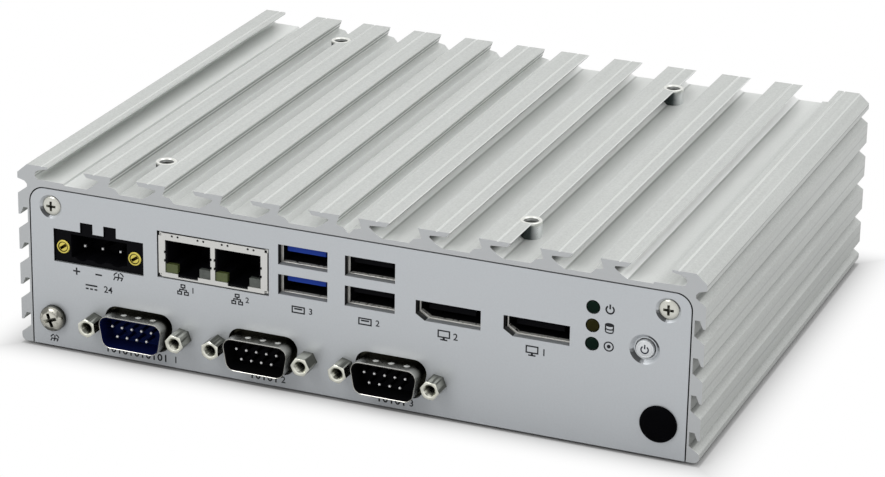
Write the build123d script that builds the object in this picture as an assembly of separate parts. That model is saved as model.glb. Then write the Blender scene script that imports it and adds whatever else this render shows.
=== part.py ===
"""Fanless industrial box computer in a finned, extruded aluminium housing.

The origin is the middle of the underside. +Z is up, the front panel faces -Y and
the connectors read left to right along +X. All sizes are in millimetres.
"""
from build123d import *
from math import radians, tan
import os

# Housing
case_width = 185.2
case_depth = 145.0
case_height = 49.2
groove_depth = 2.7
top_fin_height = 4.3
side_wall = 3.5
top_wall = 3.3
cavity_radius = 3.0
rail_width = 8.0
rail_height = 9.8
screw_boss_radius = 3.2

# Top fins, drawn for the right half and mirrored
fin_start = 2.5
fin_corner_gap = 10.17
fin_count = 5
fin_width = 8.45
outer_fin_width = 7.95
outer_fin_shift = 0.55
outer_lip_reach = 4.2
lip_tip_bevel = 0.9
lip_tip_drop = 1.1
lip_root_drop = 1.45
lip_reach = 5.4
web_slope = 1.9
foot_reach = 1.5
flank_lean = 0.9
flank_drop = 2.6
ledge_reach = 1.1
ledge_drop = 3.0
ledge_foot_reach = 2.3
crease_offset = 4.6
crease_width = 0.7
crease_depth = 0.2

# Corner fins
corner_top_width = 6.0
corner_chamfer = 2.85
corner_chamfer_drop = 2.5
corner_tip_height = 1.6
corner_lip_tip = 0.6
corner_lip_root = 1.1
corner_pocket_radius = 1.2
corner_pocket_reach = 2.6
corner_floor_drop = 3.7
corner_step_reach = 4.3
corner_crease_offset = 1.35

# Side fins
side_fin_count = 4
side_fin_tip = 5.75
side_fin_drop = 8.2
side_fin_lowest = 6.0
side_fin_rise = 1.95
hook_height = 2.0
hook_root = 1.45
hook_tip = 0.6
bottom_fin_top = 2.4
bottom_edge_radius = 1.4

# Panels and base
panel_thickness = 2.0
panel_side_margin = 3.6
panel_top_margin = 5.9
panel_radius = 4.0
panel_gap = 0.35
base_thickness = 2.0
base_gap = 0.3

# Fasteners
m3_shank_radius = 1.5
head_gap = 0.1
m3_head_radius = 2.6
m3_head_height = 1.0
m3_head_rise = 0.5
m3_rise_taper = 0.7
m3_length = 8.0
m3_dimple = 0.6
panel_screw_inset = 9.4
panel_screw_drop = 10.6
rear_screw_z = 7.4
base_screw_inset = 22.5
ground_inset = 3.4
ground_z = 8.0
ground_head_radius = 3.5
ground_head_height = 2.6
ground_shank_radius = 2.0
ground_length = 8.0
shank_sides = 8
head_sides = 12

# Mounting pillars in the top
pillar_pitch_x = 100.0
pillar_inset_y = 17.0
pillar_offset_x = -8.4
pillar_radius = 2.8
pillar_bore_radius = 1.65
pillar_bore_depth = 6.5

# Main board and what stands on it
board_thickness = 1.6
board_side_gap = 2.4
board_front_gap = 0.4
board_rear_gap = 20.6
board_lower_share = 0.79
spacer_radius = 2.75
board_hole_radius = 1.6
board_screw_head_radius = 2.75
board_screw_head_height = 1.8
board_screw_radius = 1.45
board_screw_reach = 5.0
spacer_inset_x = 12.0
spacer_front_inset = 28.1
spacer_rear_inset = 7.9
processor_size = 26.0
processor_height = 1.8
processor_x = -6.0
processor_y = 12.0
pad_thickness = 0.5
spreader_width = 60.0
spreader_length = 50.0
spreader_foot = 30.0
spreader_foot_height = 5.0
memory_length = 67.6
memory_width = 30.0
memory_thickness = 1.2
memory_socket_width = 8.0
memory_socket_height = 5.2
memory_socket_lap = 2.0
memory_gap = 7.0
memory_y = 5.0
memory_side_inset = 1.5
memory_chip_count = 4
memory_chip_pitch = 14.0
memory_chip_length = 9.0
memory_chip_width = 12.0
memory_chip_inset = 8.0
memory_chip_height = 1.0
drive_length = 60.0
drive_width = 22.0
drive_thickness = 0.8
drive_x = 56.0
drive_y = 4.0
drive_socket_length = 8.0
drive_socket_height = 4.0
drive_chip_count = 3
drive_chip_pitch = 15.0
drive_chip_length = 12.0
drive_chip_width = 14.0
drive_chip_start = 12.0
drive_chip_height = 1.4
drive_post_radius = 2.5
drive_post_inset = 3.5
cell_radius = 10.0
cell_height = 3.2
cell_x = 30.0
cell_y = 10.0
holder_width = 8.0
holder_floor = 1.6
coil_size = 7.0
coil_height = 4.0
coil_count = 5
coil_pitch = 9.5
coil_front_gap = 34.5
coil_start_x = -24.0
capacitor_radius = 3.15
capacitor_height = 6.0
capacitor_count = 2
capacitor_pitch = 8.5
capacitor_start_x = 23.5
capacitor_front_gap = 38.5

# Gaps between the pieces along the front, left to right, stretched to fill its width
upper_row_gaps = (4.1, 4.6, 2.6, 4.0, 5.4, 6.3, 3.5, 7.1, 4.8)
lower_row_gaps = (4.5, 4.3, 4.3, 51.3)

# Power header
header_width = 25.2
header_height = 8.55
header_depth = 12.0
header_recess_width = 16.0
header_recess_height = 7.0
header_recess_depth = 9.0
header_cut_gap = 0.25
header_scallop_radius = 2.35
header_scallop_drop = 0.7
header_tab_width = 3.1
header_tab_pitch = 6.7
header_tab_height = 2.75
header_tab_depth = 6.0
header_setback = 0.4
header_pin_pitch = 5.08
header_pin_size = 1.0
header_pin_short = 2.0
header_insert_pitch = 20.5
header_insert_radius = 1.85
header_insert_lift = -0.25
header_insert_proud = 0.3
header_slot_width = 0.7
header_slot_depth = 0.6

# Network sockets
network_width = 30.4
network_height = 11.9
network_depth = 21.0
network_lift = 0.7
network_wall = 0.4
network_cut_gap = 0.4
network_port_pitch = 13.95
network_port_width = 12.7
network_port_height = 8.85
network_port_drop = 1.85
network_latch_width = 5.6
network_light_width = 3.3
network_light_height = 2.3
network_light_depth = 1.2
network_cavity_depth = 14.0
network_cavity_width = 11.8
network_wire_pitch = 1.02
network_wire_size = 0.35
network_wire_count = 8
network_wire_start = 4.5
network_wire_length = 7.0
network_wire_drop = 1.6

# Usb pairs
usb_window_width = 13.5
usb_window_height = 5.4
usb_lower_lift = 4.1
usb_port_pitch = 8.0
usb_shell_width = 14.2
usb_shell_lift = 0.2
usb_shell_height = 15.4
usb_shell_depth = 17.5
usb_port_width = 12.5
usb_port_height = 5.12
usb_port_depth = 14.0
usb_tongue_width = 10.6
usb_tongue_height = 1.85
usb_tongue_length = 13.7
usb_tongue_lift = 0.45
usb_contact_count = 4
usb_contact_pitch = 2.4
usb_contact_width = 1.0
usb_contact_thickness = 0.15
usb_contact_length = 8.0
connector_setback = 0.2

# Display sockets
display_count = 2
display_lift = 3.6
display_window_width = 17.25
display_window_height = 5.2
display_window_chamfer = 2.5
display_window_chamfer_height = 1.6
display_opening_width = 16.1
display_opening_height = 4.8
display_wall = 0.4
display_depth = 14.0
display_opening_depth = 10.0
display_tongue_width = 12.6
display_tongue_height = 1.4
display_tongue_length = 9.2
display_tongue_lift = 0.3

# Status lights
light_lowest_lift = 2.65
light_pitch = 4.8
light_count = 3
light_radius = 1.65
light_hole_radius = 1.8
light_length = 2.0
light_dome = 0.3
light_carrier_wall = 0.75
light_carrier_depth = 5.5

# Power button
button_lift = 3.5
button_radius = 2.35
button_clearance = 0.3
button_dish_radius = 3.9
button_dish_depth = 0.9
button_edge = 0.3
button_proud = 0.3
button_travel = 0.5
button_collar_radius = 3.3
button_collar_thickness = 0.8
button_collar_gap = 0.3
button_stem_radius = 1.2
switch_width = 6.2
switch_depth = 3.6
switch_height = 7.0
switch_bore_clearance = 0.3
switch_gap = 0.8

# Hole plug
plug_inset = 4.4
plug_z = 8.7
plug_radius = 4.8
plug_proud = 1.1
plug_body_radius = 3.9
plug_body_depth = 4.5
plug_pocket_clearance = 0.5

# Serial ports
serial_count = 3
serial_z = 8.8
serial_shell_width = 18.5
serial_shell_height = 8.6
serial_shell_wall = 0.4
serial_corner_radius = 2.4
serial_side_angle = 10.0
serial_cut_gap = 1.0
serial_proud = 5.2
serial_flange_width = 30.8
serial_flange_height = 12.4
serial_flange_thickness = 0.8
serial_insulator_face = 0.6
serial_insulator_depth = 8.0
serial_jack_pitch = 24.99
serial_jack_flats = 4.5
serial_jack_proud = 5.2
serial_jack_bore_radius = 1.35
serial_jack_bore_depth = 4.6
serial_pin_pitch = 2.77
serial_row_pitch = 2.84
serial_pin_radius = 0.5
serial_pin_sides = 6
serial_pin_short = 1.0
serial_board_thickness = 1.6
serial_board_margin = 2.0
serial_board_lift = 0.6
serial_board_drop = 4.0
link_width = 30.0
link_depth = 5.0
link_lap = 6.0

# Worked out from the sizes above
half_width = case_width / 2
front = -case_depth / 2
rear = case_depth / 2
wall_x = half_width - groove_depth
valley = case_height - top_fin_height
cavity_x = wall_x - side_wall
cavity_top = valley - top_wall
panel_back = front + panel_thickness
rear_panel_back = rear - panel_thickness
corner_inner = half_width - corner_chamfer - corner_top_width
tip_x = half_width
connector_front = panel_back + connector_setback
outer_fin_end = corner_inner - fin_corner_gap
outer_fin_place = outer_fin_end - outer_fin_width + outer_fin_shift
fin_pitch = (outer_fin_place - fin_start) / (fin_count - 1)
side_fin_top = case_height - side_fin_drop
side_fin_pitch = (side_fin_top - side_fin_tip - side_fin_lowest) / (side_fin_count - 1)
panel_width = case_width - 2 * panel_side_margin
panel_height = case_height - panel_top_margin
panel_screw_x = half_width - panel_screw_inset
panel_screw_z = case_height - panel_screw_drop
rail_x = cavity_x - rail_width / 2
ground_x = ground_inset - cavity_x
plug_x = cavity_x - plug_inset
pillar_pitch_y = case_depth - 2 * pillar_inset_y

# The main board shares out the height that its tallest neighbours leave spare
serial_top = serial_z + serial_flange_height / 2
tallest_above = usb_shell_lift + usb_shell_height
spare_height = cavity_top - tallest_above - board_thickness - serial_top
board_bottom = serial_top + board_lower_share * spare_height
board_top = board_bottom + board_thickness
board_front = panel_back + board_front_gap
board_rear = rear_panel_back - board_rear_gap
board_half_width = cavity_x - board_side_gap
network_bottom = board_top + network_lift
usb_shell_bottom = board_top + usb_shell_lift
usb_lower_z = board_top + usb_lower_lift
display_z = board_top + display_lift
light_lowest_z = board_top + light_lowest_lift
button_z = board_top + button_lift
serial_board_bottom = base_thickness + serial_board_lift
serial_board_top = board_bottom - serial_board_drop
memory_left = processor_x - spreader_foot / 2 - memory_gap - memory_width


def row_places(widths, gaps, half_room):
    """Middles of a row of pieces, left to right, its gaps stretched to fill the room."""
    stretch = (2 * half_room - sum(widths)) / sum(gaps)
    edge = -half_room
    places = []
    for width, gap in zip(widths, gaps):
        edge += gap * stretch
        places.append(edge + width / 2)
        edge += width
    return places


upper_row = row_places(
    (
        header_width,
        network_width,
        usb_shell_width,
        usb_shell_width,
        *[display_opening_width + 2 * display_wall] * display_count,
        2 * (light_radius + light_carrier_wall),
        2 * button_dish_radius,
    ),
    upper_row_gaps,
    cavity_x,
)
header_x, network_x, usb_blue_x, usb_black_x, *display_columns, light_x, button_x = upper_row
serial_columns = row_places([serial_flange_width] * serial_count, lower_row_gaps, cavity_x - rail_width)


def prism(profile, x, z, near, far):
    """Prism of a profile drawn in X and Z, reaching from Y = near to Y = far."""
    plane = Plane(origin=(x, far, z), x_dir=(1, 0, 0), z_dir=(0, -1, 0))
    return extrude(plane * profile, amount=far - near)


def upright(profile, x, y, bottom, top):
    """Prism of a profile drawn in X and Y, reaching from Z = bottom to Z = top."""
    return extrude(Pos(x, y, bottom) * profile, amount=top - bottom)


def cone(x, z, near, far, near_radius, far_radius):
    """Frustum along Y, with one radius at Y = near and another at Y = far."""
    middle = Location((x, (near + far) / 2, z), (90, 0, 0))
    return middle * Cone(far_radius, near_radius, far - near)


def block(x_span, y_span, z_span):
    """Box between pairs of limits."""
    size = [high - low for low, high in (x_span, y_span, z_span)]
    middle = [(low + high) / 2 for low, high in (x_span, y_span, z_span)]
    return Pos(*middle) * Box(*size)


def outline(*points):
    """Flat face through the points, facing +Z whichever way round they run."""
    return make_face(Polyline(*points, close=True))


def shank(radius):
    """Faceted section of a hidden shank and of the hole that it fills."""
    return RegularPolygon(radius, shank_sides)


def group(solids):
    """Separate solids held in one compound."""
    return Compound(children=[solid for item in solids for solid in item.solids()])


def crease(start):
    """Shallow groove along the top of a fin."""
    return outline(
        (start, case_height + 0.01),
        (start + crease_width, case_height + 0.01),
        (start + crease_width / 2, case_height - crease_depth),
    )


def fin_profile(width, outer, reach):
    """Top fin: a plate on a web, with a deep pocket outside and a ledged flank inside."""
    inner = outer - width
    lip_root = outer - reach
    foot = valley - 0.5
    shape = outline(
        (inner, case_height),
        (outer, case_height),
        (outer - lip_tip_bevel, case_height - lip_tip_drop),
        (lip_root, case_height - lip_root_drop),
        (lip_root, case_height - lip_root_drop - 0.5),
        (lip_root + web_slope, valley + 0.8),
        (lip_root + web_slope + foot_reach, valley),
        (lip_root + web_slope + foot_reach, foot),
        (inner - ledge_foot_reach, foot),
        (inner - ledge_foot_reach, valley),
        (inner - ledge_reach, case_height - ledge_drop),
        (inner + flank_lean, case_height - flank_drop),
    )
    return shape - crease(inner + crease_offset)


def corner_profile():
    """Corner fin: a chamfered head over a round inner pocket and a raised floor."""
    raised = case_height - corner_floor_drop
    pocket_x = corner_inner + corner_pocket_reach
    shoulder = case_height - corner_chamfer_drop
    shape = outline(
        (corner_inner, case_height),
        (half_width - corner_chamfer, case_height),
        (tip_x, shoulder),
        (tip_x, shoulder - corner_tip_height),
        (wall_x + 0.7, shoulder - corner_tip_height - 0.55),
        (wall_x, shoulder - corner_tip_height - 1.3),
        (wall_x - 1.0, valley - 0.5),
        (corner_inner - corner_step_reach - 0.3, valley - 0.5),
        (corner_inner - corner_step_reach - 0.3, valley),
        (corner_inner - corner_step_reach, raised - 0.1),
        (corner_inner + 1.0, raised),
        (pocket_x, raised),
        (pocket_x, case_height - corner_lip_root),
        (corner_inner, case_height - corner_lip_tip),
    )
    pocket = Pos(pocket_x, raised + corner_pocket_radius) * Circle(corner_pocket_radius)
    return shape - pocket - crease(corner_inner + corner_crease_offset)


def side_fin_profile(top):
    """Side fin: sloped above, flat at the tip and hooked below."""
    bottom = top - side_fin_tip
    return outline(
        (tip_x, top),
        (wall_x, top + side_fin_rise),
        (wall_x - 0.5, top + side_fin_rise),
        (wall_x - 0.5, bottom + hook_height),
        (tip_x - hook_root, bottom + hook_height),
        (tip_x - hook_tip, bottom),
        (tip_x, bottom),
    )


def bottom_fin_profile():
    """Lowest side fin, rounded where it meets the ground."""
    shape = outline(
        (tip_x, bottom_fin_top),
        (wall_x, bottom_fin_top + side_fin_rise),
        (wall_x - 0.5, bottom_fin_top + side_fin_rise),
        (wall_x - 0.5, 0),
        (tip_x, 0),
    )
    edge = shape.vertices().filter_by(lambda v: v.X > tip_x - 0.01 and v.Y < 0.01)
    return fillet(edge, bottom_edge_radius)


def housing_fins():
    """All fins of the right half."""
    fins = corner_profile() + bottom_fin_profile()
    for index in range(fin_count - 1):
        fins += fin_profile(fin_width, fin_start + index * fin_pitch + fin_width, lip_reach)
    fins += fin_profile(outer_fin_width, outer_fin_end, outer_lip_reach)
    for index in range(side_fin_count):
        fins += side_fin_profile(side_fin_top - index * side_fin_pitch)
    return fins


def cavity_profile():
    """Right half of the extrusion's inside, less its corner boss and bottom rail."""
    room = outline((-1, -1), (cavity_x, -1), (cavity_x, cavity_top), (-1, cavity_top))
    corner = room.vertices().sort_by(lambda v: v.X + v.Y)[-1]
    room = fillet(corner, cavity_radius)
    room -= Pos(panel_screw_x, panel_screw_z) * Circle(screw_boss_radius)
    rail = Pos(rail_x, base_thickness + rail_height / 2)
    return room - rail * Rectangle(rail_width, rail_height)


def panel_profile(grow=0.0):
    """Outline of an end panel, with rounded top corners and a straight foot."""
    half = panel_width / 2 + grow
    top = panel_height + grow
    foot = -1.0 if grow else 0.0
    shape = outline((-half, foot), (half, foot), (half, top), (-half, top))
    return fillet(shape.vertices().group_by(Axis.Y)[-1], panel_radius + grow)


def pillar_places():
    """Centres of the four mounting pillars, in X and Y."""
    return [
        (pillar_offset_x + sx * pillar_pitch_x / 2, sy * pillar_pitch_y / 2)
        for sx in (-1, 1)
        for sy in (-1, 1)
    ]


def base_screw_places():
    """Screws that hold the base to the rails, in X and Y."""
    reach = case_depth / 2 - base_screw_inset
    return [(side * rail_x, row * reach) for side in (-1, 1) for row in (-1, 1)]


def make_housing():
    """The extrusion, let in at both ends for the panels and drilled for its screws."""
    core = outline((0, 0), (wall_x, 0), (wall_x, valley), (0, valley))
    half = prism(core + housing_fins() - cavity_profile(), 0, 0, front, rear)
    solid = half + mirror(half, about=Plane.YZ)
    recess = panel_profile(panel_gap)
    solid -= prism(recess, 0, 0, front - 1, panel_back)
    solid -= prism(recess, 0, 0, rear_panel_back, rear + 1)
    for side in (-1, 1):
        x = side * panel_screw_x
        solid -= prism(shank(m3_shank_radius), x, panel_screw_z, front, front + m3_length)
    for x, z in rear_screw_places():
        solid -= prism(shank(m3_shank_radius), x, z, rear - m3_length, rear)
    ground_end = front + ground_length
    solid -= prism(shank(ground_shank_radius), ground_x, ground_z, front, ground_end)
    plug_pocket = shank(plug_body_radius + plug_pocket_clearance)
    pocket_end = front + plug_body_depth + plug_pocket_clearance
    solid -= prism(plug_pocket, plug_x, plug_z, front, pocket_end)
    for x, y in base_screw_places():
        solid -= upright(shank(m3_shank_radius), x, y, 0, m3_length)
    for x, y in pillar_places():
        solid -= upright(Circle(pillar_radius), x, y, cavity_top - 1, case_height + 1)
    return solid


def make_pillars():
    """Round threaded pillars, from the ceiling of the cavity to the tops of the fins."""
    pillars = []
    for x, y in pillar_places():
        pillar = upright(Circle(pillar_radius), x, y, cavity_top, case_height)
        bore_bottom = case_height - pillar_bore_depth
        pillars.append(pillar - upright(Circle(pillar_bore_radius), x, y, bore_bottom, case_height + 1))
    return group(pillars)


def serial_profile(grow=0.0):
    """The D outline of a serial port, wide side up."""
    width = serial_shell_width + 2 * grow
    height = serial_shell_height + 2 * grow
    slant = height * tan(radians(serial_side_angle))
    shape = outline(
        (-width / 2, height / 2),
        (-width / 2 + slant, -height / 2),
        (width / 2 - slant, -height / 2),
        (width / 2, height / 2),
    )
    return fillet(shape.vertices(), serial_corner_radius + grow)


def display_profile(width, height, grow=0.0):
    """The outline of a display socket, a bar with one cut lower corner."""
    half_w = width / 2 + grow
    half_h = height / 2 + grow
    return outline(
        (-half_w, half_h),
        (-half_w, -half_h + display_window_chamfer_height),
        (-half_w + display_window_chamfer, -half_h),
        (half_w, -half_h),
        (half_w, half_h),
    )


def usb_heights():
    """Heights of the lower and the upper usb opening."""
    return (usb_lower_z, usb_lower_z + usb_port_pitch)


def light_heights():
    """Heights of the status lights, lowest first."""
    return [light_lowest_z + index * light_pitch for index in range(light_count)]


def header_outline(grow=0.0):
    """Front outline of the power header, with its two coding tabs on top."""
    shape = Rectangle(header_width + 2 * grow, header_height + 2 * grow)
    for side in (-1, 1):
        tab = Rectangle(header_tab_width + 2 * grow, header_tab_height + header_height / 2 + grow)
        lift = (header_tab_height + header_height / 2 + grow) / 2
        shape += Pos(side * header_tab_pitch / 2, lift) * tab
    return shape


def header_z():
    """Height of the middle of the power header, which stands on the board."""
    return board_top + header_height / 2


def head_section(radius, in_view):
    """Section of a screw head: round where it is in view, faceted where it isn't."""
    return Circle(radius) if in_view else RegularPolygon(radius, head_sides, major_radius=False)


def countersink(in_view=True):
    """Hole for a countersunk screw along -Z, its mouth at Z = 0."""
    depth = m3_head_height + m3_dimple
    mouth = head_section(m3_head_radius + m3_dimple, in_view)
    seat = extrude(mouth, amount=-depth, taper=45)
    return seat + upright(shank(m3_shank_radius + head_gap), 0, 0, -panel_thickness - 1, -depth / 2)


def make_front_panel():
    """Flat plate with all connector windows, held by two screws and the ground screw."""
    panel = prism(panel_profile(), 0, 0, front, panel_back)
    near = front - 1
    far = panel_back + 1
    for side in (-1, 1):
        panel -= facing_front(side * panel_screw_x, panel_screw_z) * countersink()
    panel -= prism(header_outline(header_cut_gap), header_x, header_z(), near, far)
    network_cut = Rectangle(network_width + 2 * network_cut_gap, network_height + 2 * network_cut_gap)
    panel -= prism(network_cut, network_x, network_bottom + network_height / 2, near, far)
    window = Rectangle(usb_window_width, usb_window_height)
    for x in (usb_blue_x, usb_black_x):
        for z in usb_heights():
            panel -= prism(window, x, z, near, far)
    display_window = display_profile(display_window_width, display_window_height)
    for x in display_columns:
        panel -= prism(display_window, x, display_z, near, far)
    for z in light_heights():
        panel -= prism(Circle(light_hole_radius), light_x, z, near, far)
    panel -= prism(Circle(button_radius + button_clearance), button_x, button_z, near, far)
    dish_floor = front + button_dish_depth
    floor_radius = button_radius + 2 * button_clearance
    panel -= cone(button_x, button_z, front, dish_floor, button_dish_radius, floor_radius)
    panel -= prism(shank(plug_body_radius), plug_x, plug_z, near, far)
    panel -= prism(shank(ground_shank_radius + head_gap), ground_x, ground_z, near, far)
    for x in serial_columns:
        panel -= prism(serial_profile(serial_cut_gap), x, serial_z, near, far)
    return panel


def make_rear_panel():
    """Plain plate with four screws."""
    panel = prism(panel_profile(), 0, 0, rear_panel_back, rear)
    for x, z in rear_screw_places():
        panel -= facing_rear(x, z) * countersink(in_view=False)
    return panel


def facing_front(x, z):
    """Place on the front face, with the local +Z axis pointing out of it."""
    return Location((x, front, z), (90, 0, 0))


def facing_rear(x, z):
    """Place on the rear face, with the local +Z axis pointing out of it."""
    return Location((x, rear, z), (-90, 0, 0))


def rear_screw_places():
    """Screws of the rear panel, in X and Z."""
    upper = [(side * panel_screw_x, panel_screw_z) for side in (-1, 1)]
    lower = [(side * rail_x, rear_screw_z) for side in (-1, 1)]
    return upper + lower


def countersunk_screw(in_view=True):
    """Raised countersunk M3 screw along -Z, seated in a countersink whose mouth is at Z = 0."""
    rim = head_section(m3_head_radius, in_view)
    head = extrude(rim, amount=-m3_head_height, taper=45)
    head += extrude(rim, amount=m3_head_rise, taper=45 * m3_rise_taper)
    head += upright(shank(m3_shank_radius), 0, 0, m3_dimple - m3_length, -m3_head_height / 2)
    return Pos(0, 0, -m3_dimple) * head


def make_front_panel_screws():
    """The two upper screws of the front panel."""
    return group(
        facing_front(side * panel_screw_x, panel_screw_z) * countersunk_screw() for side in (-1, 1)
    )


def make_rear_panel_screws():
    """The four screws of the rear panel."""
    screw = countersunk_screw(in_view=False)
    return group(facing_rear(x, z) * screw for x, z in rear_screw_places())


def make_base():
    """Flat base plate between the side walls, countersunk from below."""
    half = cavity_x - base_gap
    plate = block((-half, half), (panel_back + base_gap, rear_panel_back - base_gap), (0, base_thickness))
    for x, y in base_screw_places():
        plate -= facing_down(x, y) * countersink(in_view=False)
    return plate


def facing_down(x, y):
    """Place on the underside, with the local +Z axis pointing down."""
    return Location((x, y, 0), (180, 0, 0))


def make_base_screws():
    """Screws up through the base into the rails."""
    screw = countersunk_screw(in_view=False)
    return group(facing_down(x, y) * screw for x, y in base_screw_places())


def make_ground_screw():
    """Pan-head screw that stands proud of the panel."""
    head = upright(Circle(ground_head_radius), 0, 0, 0, ground_head_height)
    head = chamfer(head.edges().group_by(Axis.Z)[-1], ground_head_height * 0.4)
    head += upright(shank(ground_shank_radius), 0, 0, -ground_length, 0)
    return facing_front(ground_x, ground_z) * head


def make_plug():
    """Domed blind plug, pushed into its hole."""
    dome = upright(Circle(plug_radius), 0, 0, 0, plug_proud)
    dome = chamfer(dome.edges().group_by(Axis.Z)[-1], plug_proud * 0.6)
    body = upright(shank(plug_body_radius), 0, 0, -plug_body_depth, 0)
    return facing_front(plug_x, plug_z) * (dome + body)


def make_button():
    """Button cap with a collar behind the panel and a stem into the switch."""
    face = front - button_proud
    cap = prism(Circle(button_radius), button_x, button_z, face, panel_back + button_collar_gap)
    cap = chamfer(cap.edges().group_by(Axis.Y)[0], button_edge)
    collar_start = panel_back + button_collar_gap
    collar_end = collar_start + button_collar_thickness
    collar = prism(Circle(button_collar_radius), button_x, button_z, collar_start, collar_end)
    stem_end = switch_front() + switch_bore_clearance + button_travel
    stem = prism(Circle(button_stem_radius), button_x, button_z, collar_end, stem_end)
    return cap + collar + stem


def switch_front():
    """Front face of the button switch."""
    collar_end = panel_back + button_collar_gap + button_collar_thickness
    return collar_end + button_travel + switch_gap


def make_switch():
    """Switch on the board, with the bore that the button's stem presses into."""
    y_span = (switch_front(), switch_front() + switch_depth)
    x_span = (button_x - switch_width / 2, button_x + switch_width / 2)
    body = block(x_span, y_span, (board_top, board_top + switch_height))
    bore_end = switch_front() + 2 * (switch_bore_clearance + button_travel)
    bore = Circle(button_stem_radius + switch_bore_clearance)
    return body - prism(bore, button_x, button_z, switch_front() - 1, bore_end)


def make_light(z):
    """One status light: a lens that stands out of its carrier through the panel."""
    lens = prism(Circle(light_radius), light_x, z, front, light_carrier_front())
    dome = cone(light_x, z, front - light_dome, front, light_radius - light_dome, light_radius)
    return lens + dome


def light_carrier_front():
    """Front face of the block that carries the lights."""
    return panel_back + light_length


def make_light_carrier():
    """Black block on the board that holds the three lights."""
    half = light_radius + light_carrier_wall
    y_span = (light_carrier_front(), light_carrier_front() + light_carrier_depth)
    top = light_heights()[-1] + half
    return block((light_x - half, light_x + half), y_span, (board_top, top))


def make_power_header():
    """Header body with a scalloped recess, two screw flanges and two coding tabs."""
    z = header_z()
    face = front + header_setback
    far = face + header_depth
    body = prism(Rectangle(header_width, header_height), header_x, z, face, far)
    for side in (-1, 1):
        x = header_x + side * header_tab_pitch / 2
        x_span = (x - header_tab_width / 2, x + header_tab_width / 2)
        z_span = (z, z + header_height / 2 + header_tab_height)
        body += block(x_span, (face, face + header_tab_depth), z_span)
    recess = Rectangle(header_recess_width, header_recess_height - header_scallop_drop)
    recess = Pos(0, header_scallop_drop / 2) * recess
    for index in (-1, 0, 1):
        drop = -header_recess_height / 2 + header_scallop_radius
        recess += Pos(index * header_pin_pitch, drop) * Circle(header_scallop_radius)
    body -= prism(recess, header_x, z, face - 1, face + header_recess_depth)
    for x in header_insert_places():
        hole = Circle(header_insert_radius)
        body -= prism(hole, x, z + header_insert_lift, face - 1, face + header_recess_depth)
    for x in header_pin_places():
        pin = Rectangle(header_pin_size, header_pin_size)
        body -= prism(pin, x, z, face, far + 1)
    return body


def header_insert_places():
    """X places of the two brass inserts."""
    return [header_x + side * header_insert_pitch / 2 for side in (-1, 1)]


def header_pin_places():
    """X places of the three power pins."""
    return [header_x + index * header_pin_pitch for index in (-1, 0, 1)]


def make_header_pins():
    """Square pins, bent down into the board behind the header."""
    z = header_z()
    face = front + header_setback
    start = face + header_pin_short
    end = face + header_depth + 2.0
    half = header_pin_size / 2
    pins = []
    for x in header_pin_places():
        pin = block((x - half, x + half), (start, end), (z - half, z + half))
        pin += block((x - half, x + half), (end - header_pin_size, end), (board_top, z + half))
        pins.append(pin)
    return group(pins)


def make_header_inserts():
    """Slotted brass screw inserts in the flanges."""
    z = header_z() + header_insert_lift
    face = front + header_setback
    inserts = []
    for x in header_insert_places():
        insert = prism(
            Circle(header_insert_radius), x, z, face - header_insert_proud, face + header_recess_depth
        )
        slot = Rectangle(2 * header_insert_radius + 1, header_slot_width)
        slot_end = face - header_insert_proud + header_slot_depth
        inserts.append(insert - prism(Rot(0, 0, 35) * slot, x, z, face - 1, slot_end))
    return group(inserts)


def network_port_places():
    """X places of the two network openings."""
    return [network_x + side * network_port_pitch / 2 for side in (-1, 1)]


def network_port_z():
    """Height of the middle of a network opening."""
    top = network_bottom + network_height - network_port_drop
    return top - network_port_height / 2


def make_network_shield():
    """Sheet-metal shield round both network sockets."""
    middle = network_bottom + network_height / 2
    far = front + network_depth
    outer = prism(Rectangle(network_width, network_height), network_x, middle, front, far)
    inner = Rectangle(network_width - 2 * network_wall, network_height - 2 * network_wall)
    outer -= prism(inner, network_x, middle, front + network_wall, far + 1)
    latch_height = network_port_z() - network_bottom
    for x in network_port_places():
        port = Rectangle(network_port_width, network_port_height)
        outer -= prism(port, x, network_port_z(), front - 1, front + network_wall + 0.1)
        latch = Rectangle(network_latch_width, latch_height + 1)
        latch_z = network_bottom - 1 + (latch_height + 1) / 2
        outer -= prism(latch, x, latch_z, front - 1, front + network_wall + 0.1)
    return outer


def make_network_body():
    """Black body in the shield, with a plug cavity and a latch channel for each port."""
    middle = network_bottom + network_height / 2
    width = network_width - 2 * network_wall
    height = network_height - 2 * network_wall
    near = front + network_wall
    body = prism(Rectangle(width, height), network_x, middle, near, front + network_depth)
    cavity_end = near + network_cavity_depth
    upper_height = network_port_height - network_light_height
    upper_z = network_port_z() + network_light_height / 2
    floor = network_bottom + network_wall + 0.5
    lower_height = upper_z - floor
    for x in network_port_places():
        upper = Rectangle(network_cavity_width, upper_height)
        body -= prism(upper, x, upper_z, near - 1, cavity_end)
        lower = Rectangle(network_port_width - 2 * network_light_width, lower_height)
        body -= prism(lower, x, floor + lower_height / 2, near - 1, cavity_end)
    for x, z in network_light_places():
        light = Rectangle(network_light_width, network_light_height)
        body -= prism(light, x, z, near - 1, near + network_light_depth)
    return body


def network_light_places():
    """X and Z of the light windows, in the lower corners of each opening."""
    z = network_port_z() - network_port_height / 2 + network_light_height / 2
    reach = network_port_width / 2 - network_light_width / 2
    return [(x + side * reach, z) for x in network_port_places() for side in (-1, 1)]


def make_network_lights(side):
    """Light windows on one side of both openings."""
    near = front + network_wall
    light = Rectangle(network_light_width, network_light_height)
    places = network_light_places()[side::2]
    return group(prism(light, x, z, near, near + network_light_depth) for x, z in places)


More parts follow.
